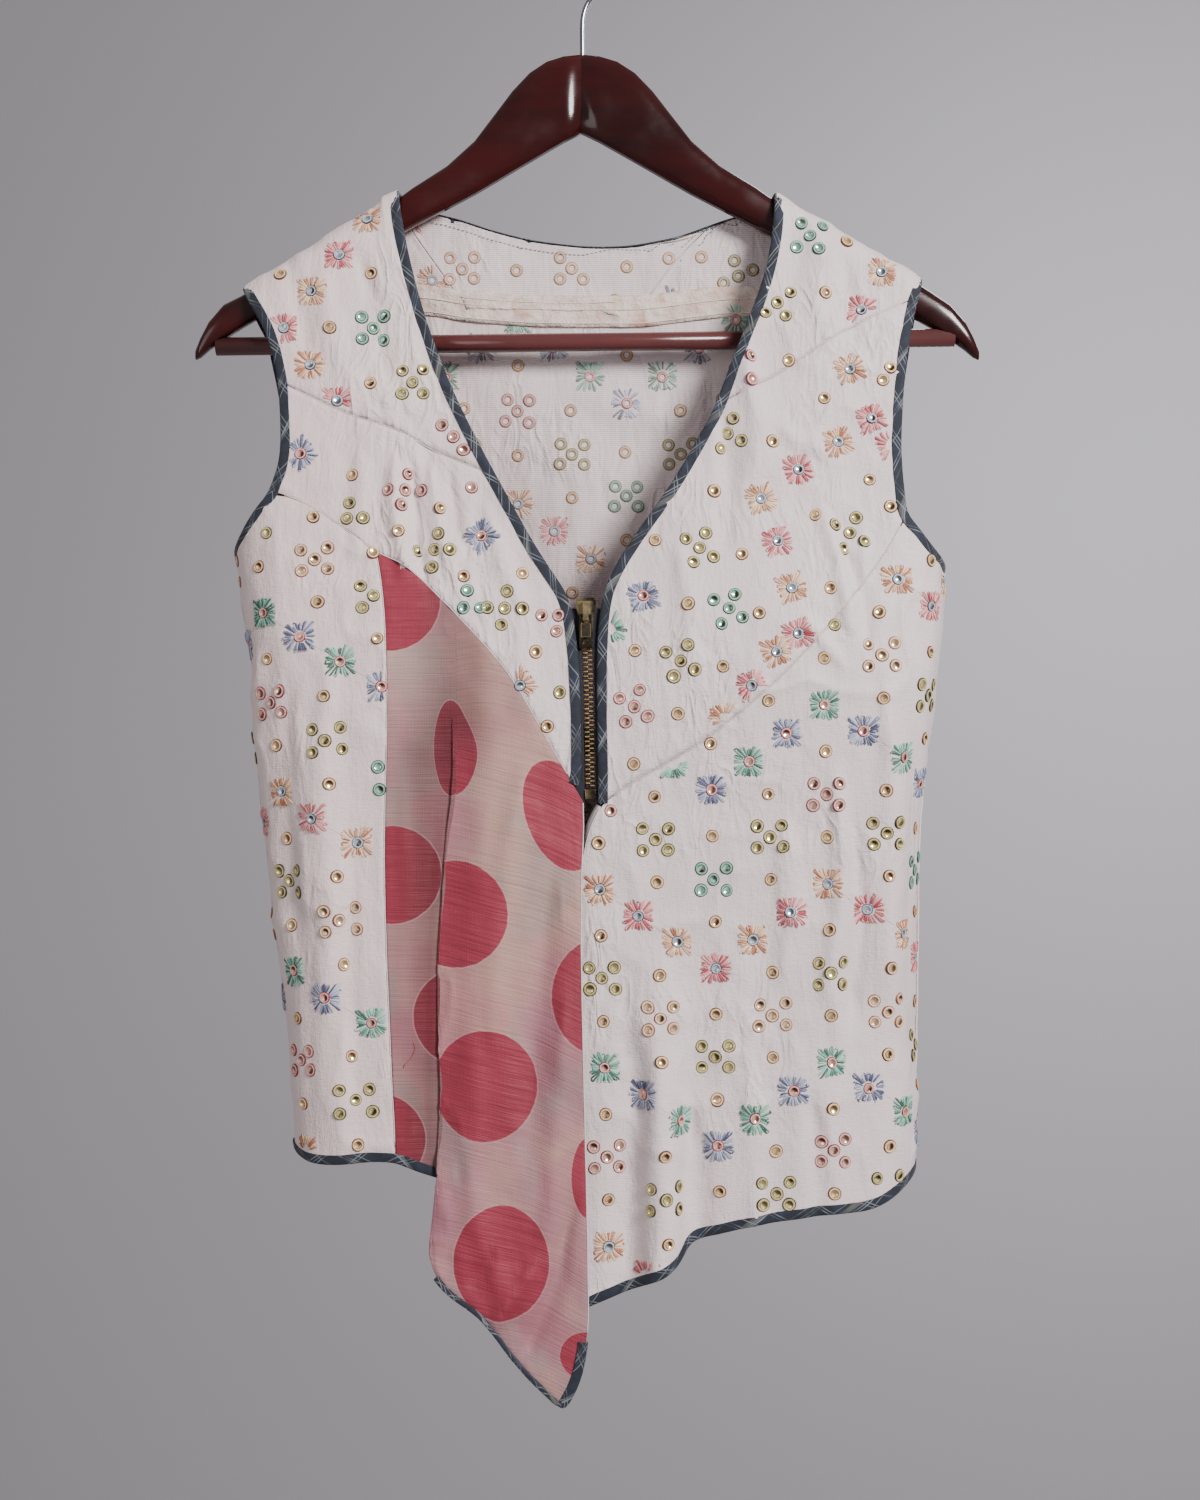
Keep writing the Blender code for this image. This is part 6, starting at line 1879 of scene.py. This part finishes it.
def chainLine():
    # the middle of the chain at a height, read off its solid
    points = np.array([v.co[:] for v in nodes["zip_chain"].data.vertices]) / mm
    order = np.argsort(points[:, 2])
    points = points[order]
    rows = np.unique(points[:, 2].round(1))
    middles = []
    for row in rows:
        here = points[np.abs(points[:, 2] - row) < 0.2, :2]
        middles.append((row, *((here.min(0) + here.max(0)) / 2)))
    middles = np.array(middles)
    return lambda z: (np.interp(z, middles[:, 0], middles[:, 1]), np.interp(z, middles[:, 0], middles[:, 2]))


def makeZip(brass):
    line = chainLine()
    wide, tall, deep = zipper["tooth"]
    deselect()
    bpy.ops.mesh.primitive_cube_add(size=1, location=(0, 0, 0))
    tooth = bpy.context.object
    tooth.name = "tooth"
    tooth.scale = (wide * mm, deep * 1.55 * mm, tall * mm)
    bpy.ops.object.transform_apply(scale=True)
    bpy.ops.object.mode_set(mode="EDIT")
    bpy.ops.mesh.select_mode(type="FACE")
    bpy.ops.mesh.select_all(action="DESELECT")
    bm = bmesh.from_edit_mesh(tooth.data)
    for face in bm.faces:
        face.select_set(face.normal.x > 0.9)
    bmesh.update_edit_mesh(tooth.data)
    bpy.ops.mesh.extrude_region_move(TRANSFORM_OT_translate={"value": (0.5 * mm, 0, 0)})
    bpy.ops.transform.resize(value=(1, 0.6, 0.45))
    bpy.ops.object.mode_set(mode="OBJECT")
    apply(tooth, "BEVEL", "edges", width=0.16 * mm, segments=1)
    shape = pointsOf(tooth)
    faces = [tuple(p.vertices) for p in tooth.data.polygons]
    bpy.data.objects.remove(tooth)
    points, allFaces = [], []
    count = int((zipper["top"] - zipper["foot"]) / zipper["pitch"])
    rng = np.random.default_rng(3)
    for k in range(2 * count):
        z = zipper["foot"] + (k + 0.5) * zipper["pitch"] / 2
        side = 1 if k % 2 else -1
        x, y = line(z)
        placed = shape * [side, 1, 1]
        spin = rng.uniform(-0.05, 0.05)
        c, s = math.cos(spin), math.sin(spin)
        placed = placed @ np.array([[c, 0, s], [0, 1, 0], [-s, 0, c]])
        placed = placed + np.array([x - side * zipper["apart"], y, z]) * mm
        start = len(points)
        points += list(placed)
        order = (lambda f: f[::-1]) if side < 0 else (lambda f: f)
        allFaces += [tuple(start + i for i in order(f)) for f in faces]
    teeth = meshFrom("zipTeeth", points, allFaces)
    smooth(teeth, 35)
    toothed = antiqueBrass("toothBrass", 0.45, ((92, 76, 48), (160, 136, 90), (214, 190, 136)))
    dress(teeth, toothed, replaces=["zip_chain"])
    woven = Finish("zipTape", Roughness=0.85, Sheen_Weight=0.2)
    at = woven.place("Object", (1, 1, 1))
    ribs = woven.noise(woven.place("Object", (2600, 600, 420)), 1.0, 2.0)
    woven.set("Base Color", woven.mix(ribs, linear((12, 13, 18)), linear((34, 36, 46))))
    woven.set("Normal", woven.bump(ribs + woven.noise(at, 900.0, 1.0), 0.0003, 0.8))
    for side in ("right", "left"):
        strip = copyOf("zip_tape_" + side, "tapeWoven" + side.capitalize(), 0, 50)
        apply(strip, "BEVEL", "edges", width=0.25 * mm, segments=2, limit_method="ANGLE")
        dress(strip, woven, replaces=["zip_tape_" + side])
    castPiece("zip_slider", "sliderBody", 0.32, 3, brass)
    castPiece("zip_bottom_stop", "bottomStop", 0.3, 3, brass)
    makeTab(brass)
    print("zip ready:", 2 * count, "teeth")


def castPiece(name, label, width, segments, brass, body="waistcoat"):
    # a copy of one small solid with its edges rounded over
    piece = copyOf(name, label, 0, 35)
    apply(piece, "BEVEL", "edges", width=width * mm, segments=segments, limit_method="ANGLE",
          angle_limit=math.radians(40))
    smooth(piece, 40)
    dress(piece, brass, body=body, replaces=[name])


def uprightPlane(name, spot, wide, tall):
    # a plane facing the front
    bpy.ops.mesh.primitive_plane_add(size=1, location=spot, rotation=(math.pi / 2, 0, 0))
    plane = bpy.context.object
    plane.name = name
    plane.scale = (wide * mm, tall * mm, 1)
    bpy.ops.object.transform_apply(location=True, rotation=True, scale=True)
    return plane


def makeTab(brass):
    # the tab, with a dark plate let into a raised rim
    castPiece("zip_pull_tab", "pullTab", 0.28, 2, brass, "pull_tab")
    low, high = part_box("zip_pull_tab")
    middle = (low + high) / 2
    plate = Finish("tabInset", Metallic=0.75)
    grain = plate.noise(plate.place(), 600.0, 3.0)
    plate.set("Base Color", plate.mix(grain, linear((38, 33, 28)), linear((70, 60, 44))))
    plate.set("Roughness", plate.steps(grain, 0.3, 0.7, 0.38, 0.55))
    deselect()
    height = middle.z + 0.4 * mm
    inset = uprightPlane("tabInsetPlate", (middle.x, low.y - 0.02 * mm, height), 5.0, 7.0)
    apply(inset, "SOLIDIFY", "wall", thickness=0.10 * mm, offset=0.0)
    apply(inset, "BEVEL", "edges", width=0.04 * mm, segments=1)
    dress(inset, plate, body="pull_tab")
    rimPlate = uprightPlane("tabInsetRim", (middle.x, low.y - 0.10 * mm, height), 5.8, 7.8)
    bpy.ops.object.mode_set(mode="EDIT")
    bpy.ops.mesh.select_all(action="SELECT")
    bpy.ops.mesh.inset(thickness=0.42 * mm)
    bpy.ops.mesh.delete(type="FACE")
    bpy.ops.object.mode_set(mode="OBJECT")
    apply(rimPlate, "SOLIDIFY", "wall", thickness=0.28 * mm, offset=0.0)
    apply(rimPlate, "BEVEL", "edges", width=0.08 * mm, segments=2)
    dress(rimPlate, brass, body="pull_tab")


makeHanger()
makeZip(antiqueBrass())


for name, panel in panels.items():
    held = [bindings[b] for b, wholes in tape["holds"].items() if wholes[0] == name]
    held + embroidery.get(name, [])

print("scene ready")
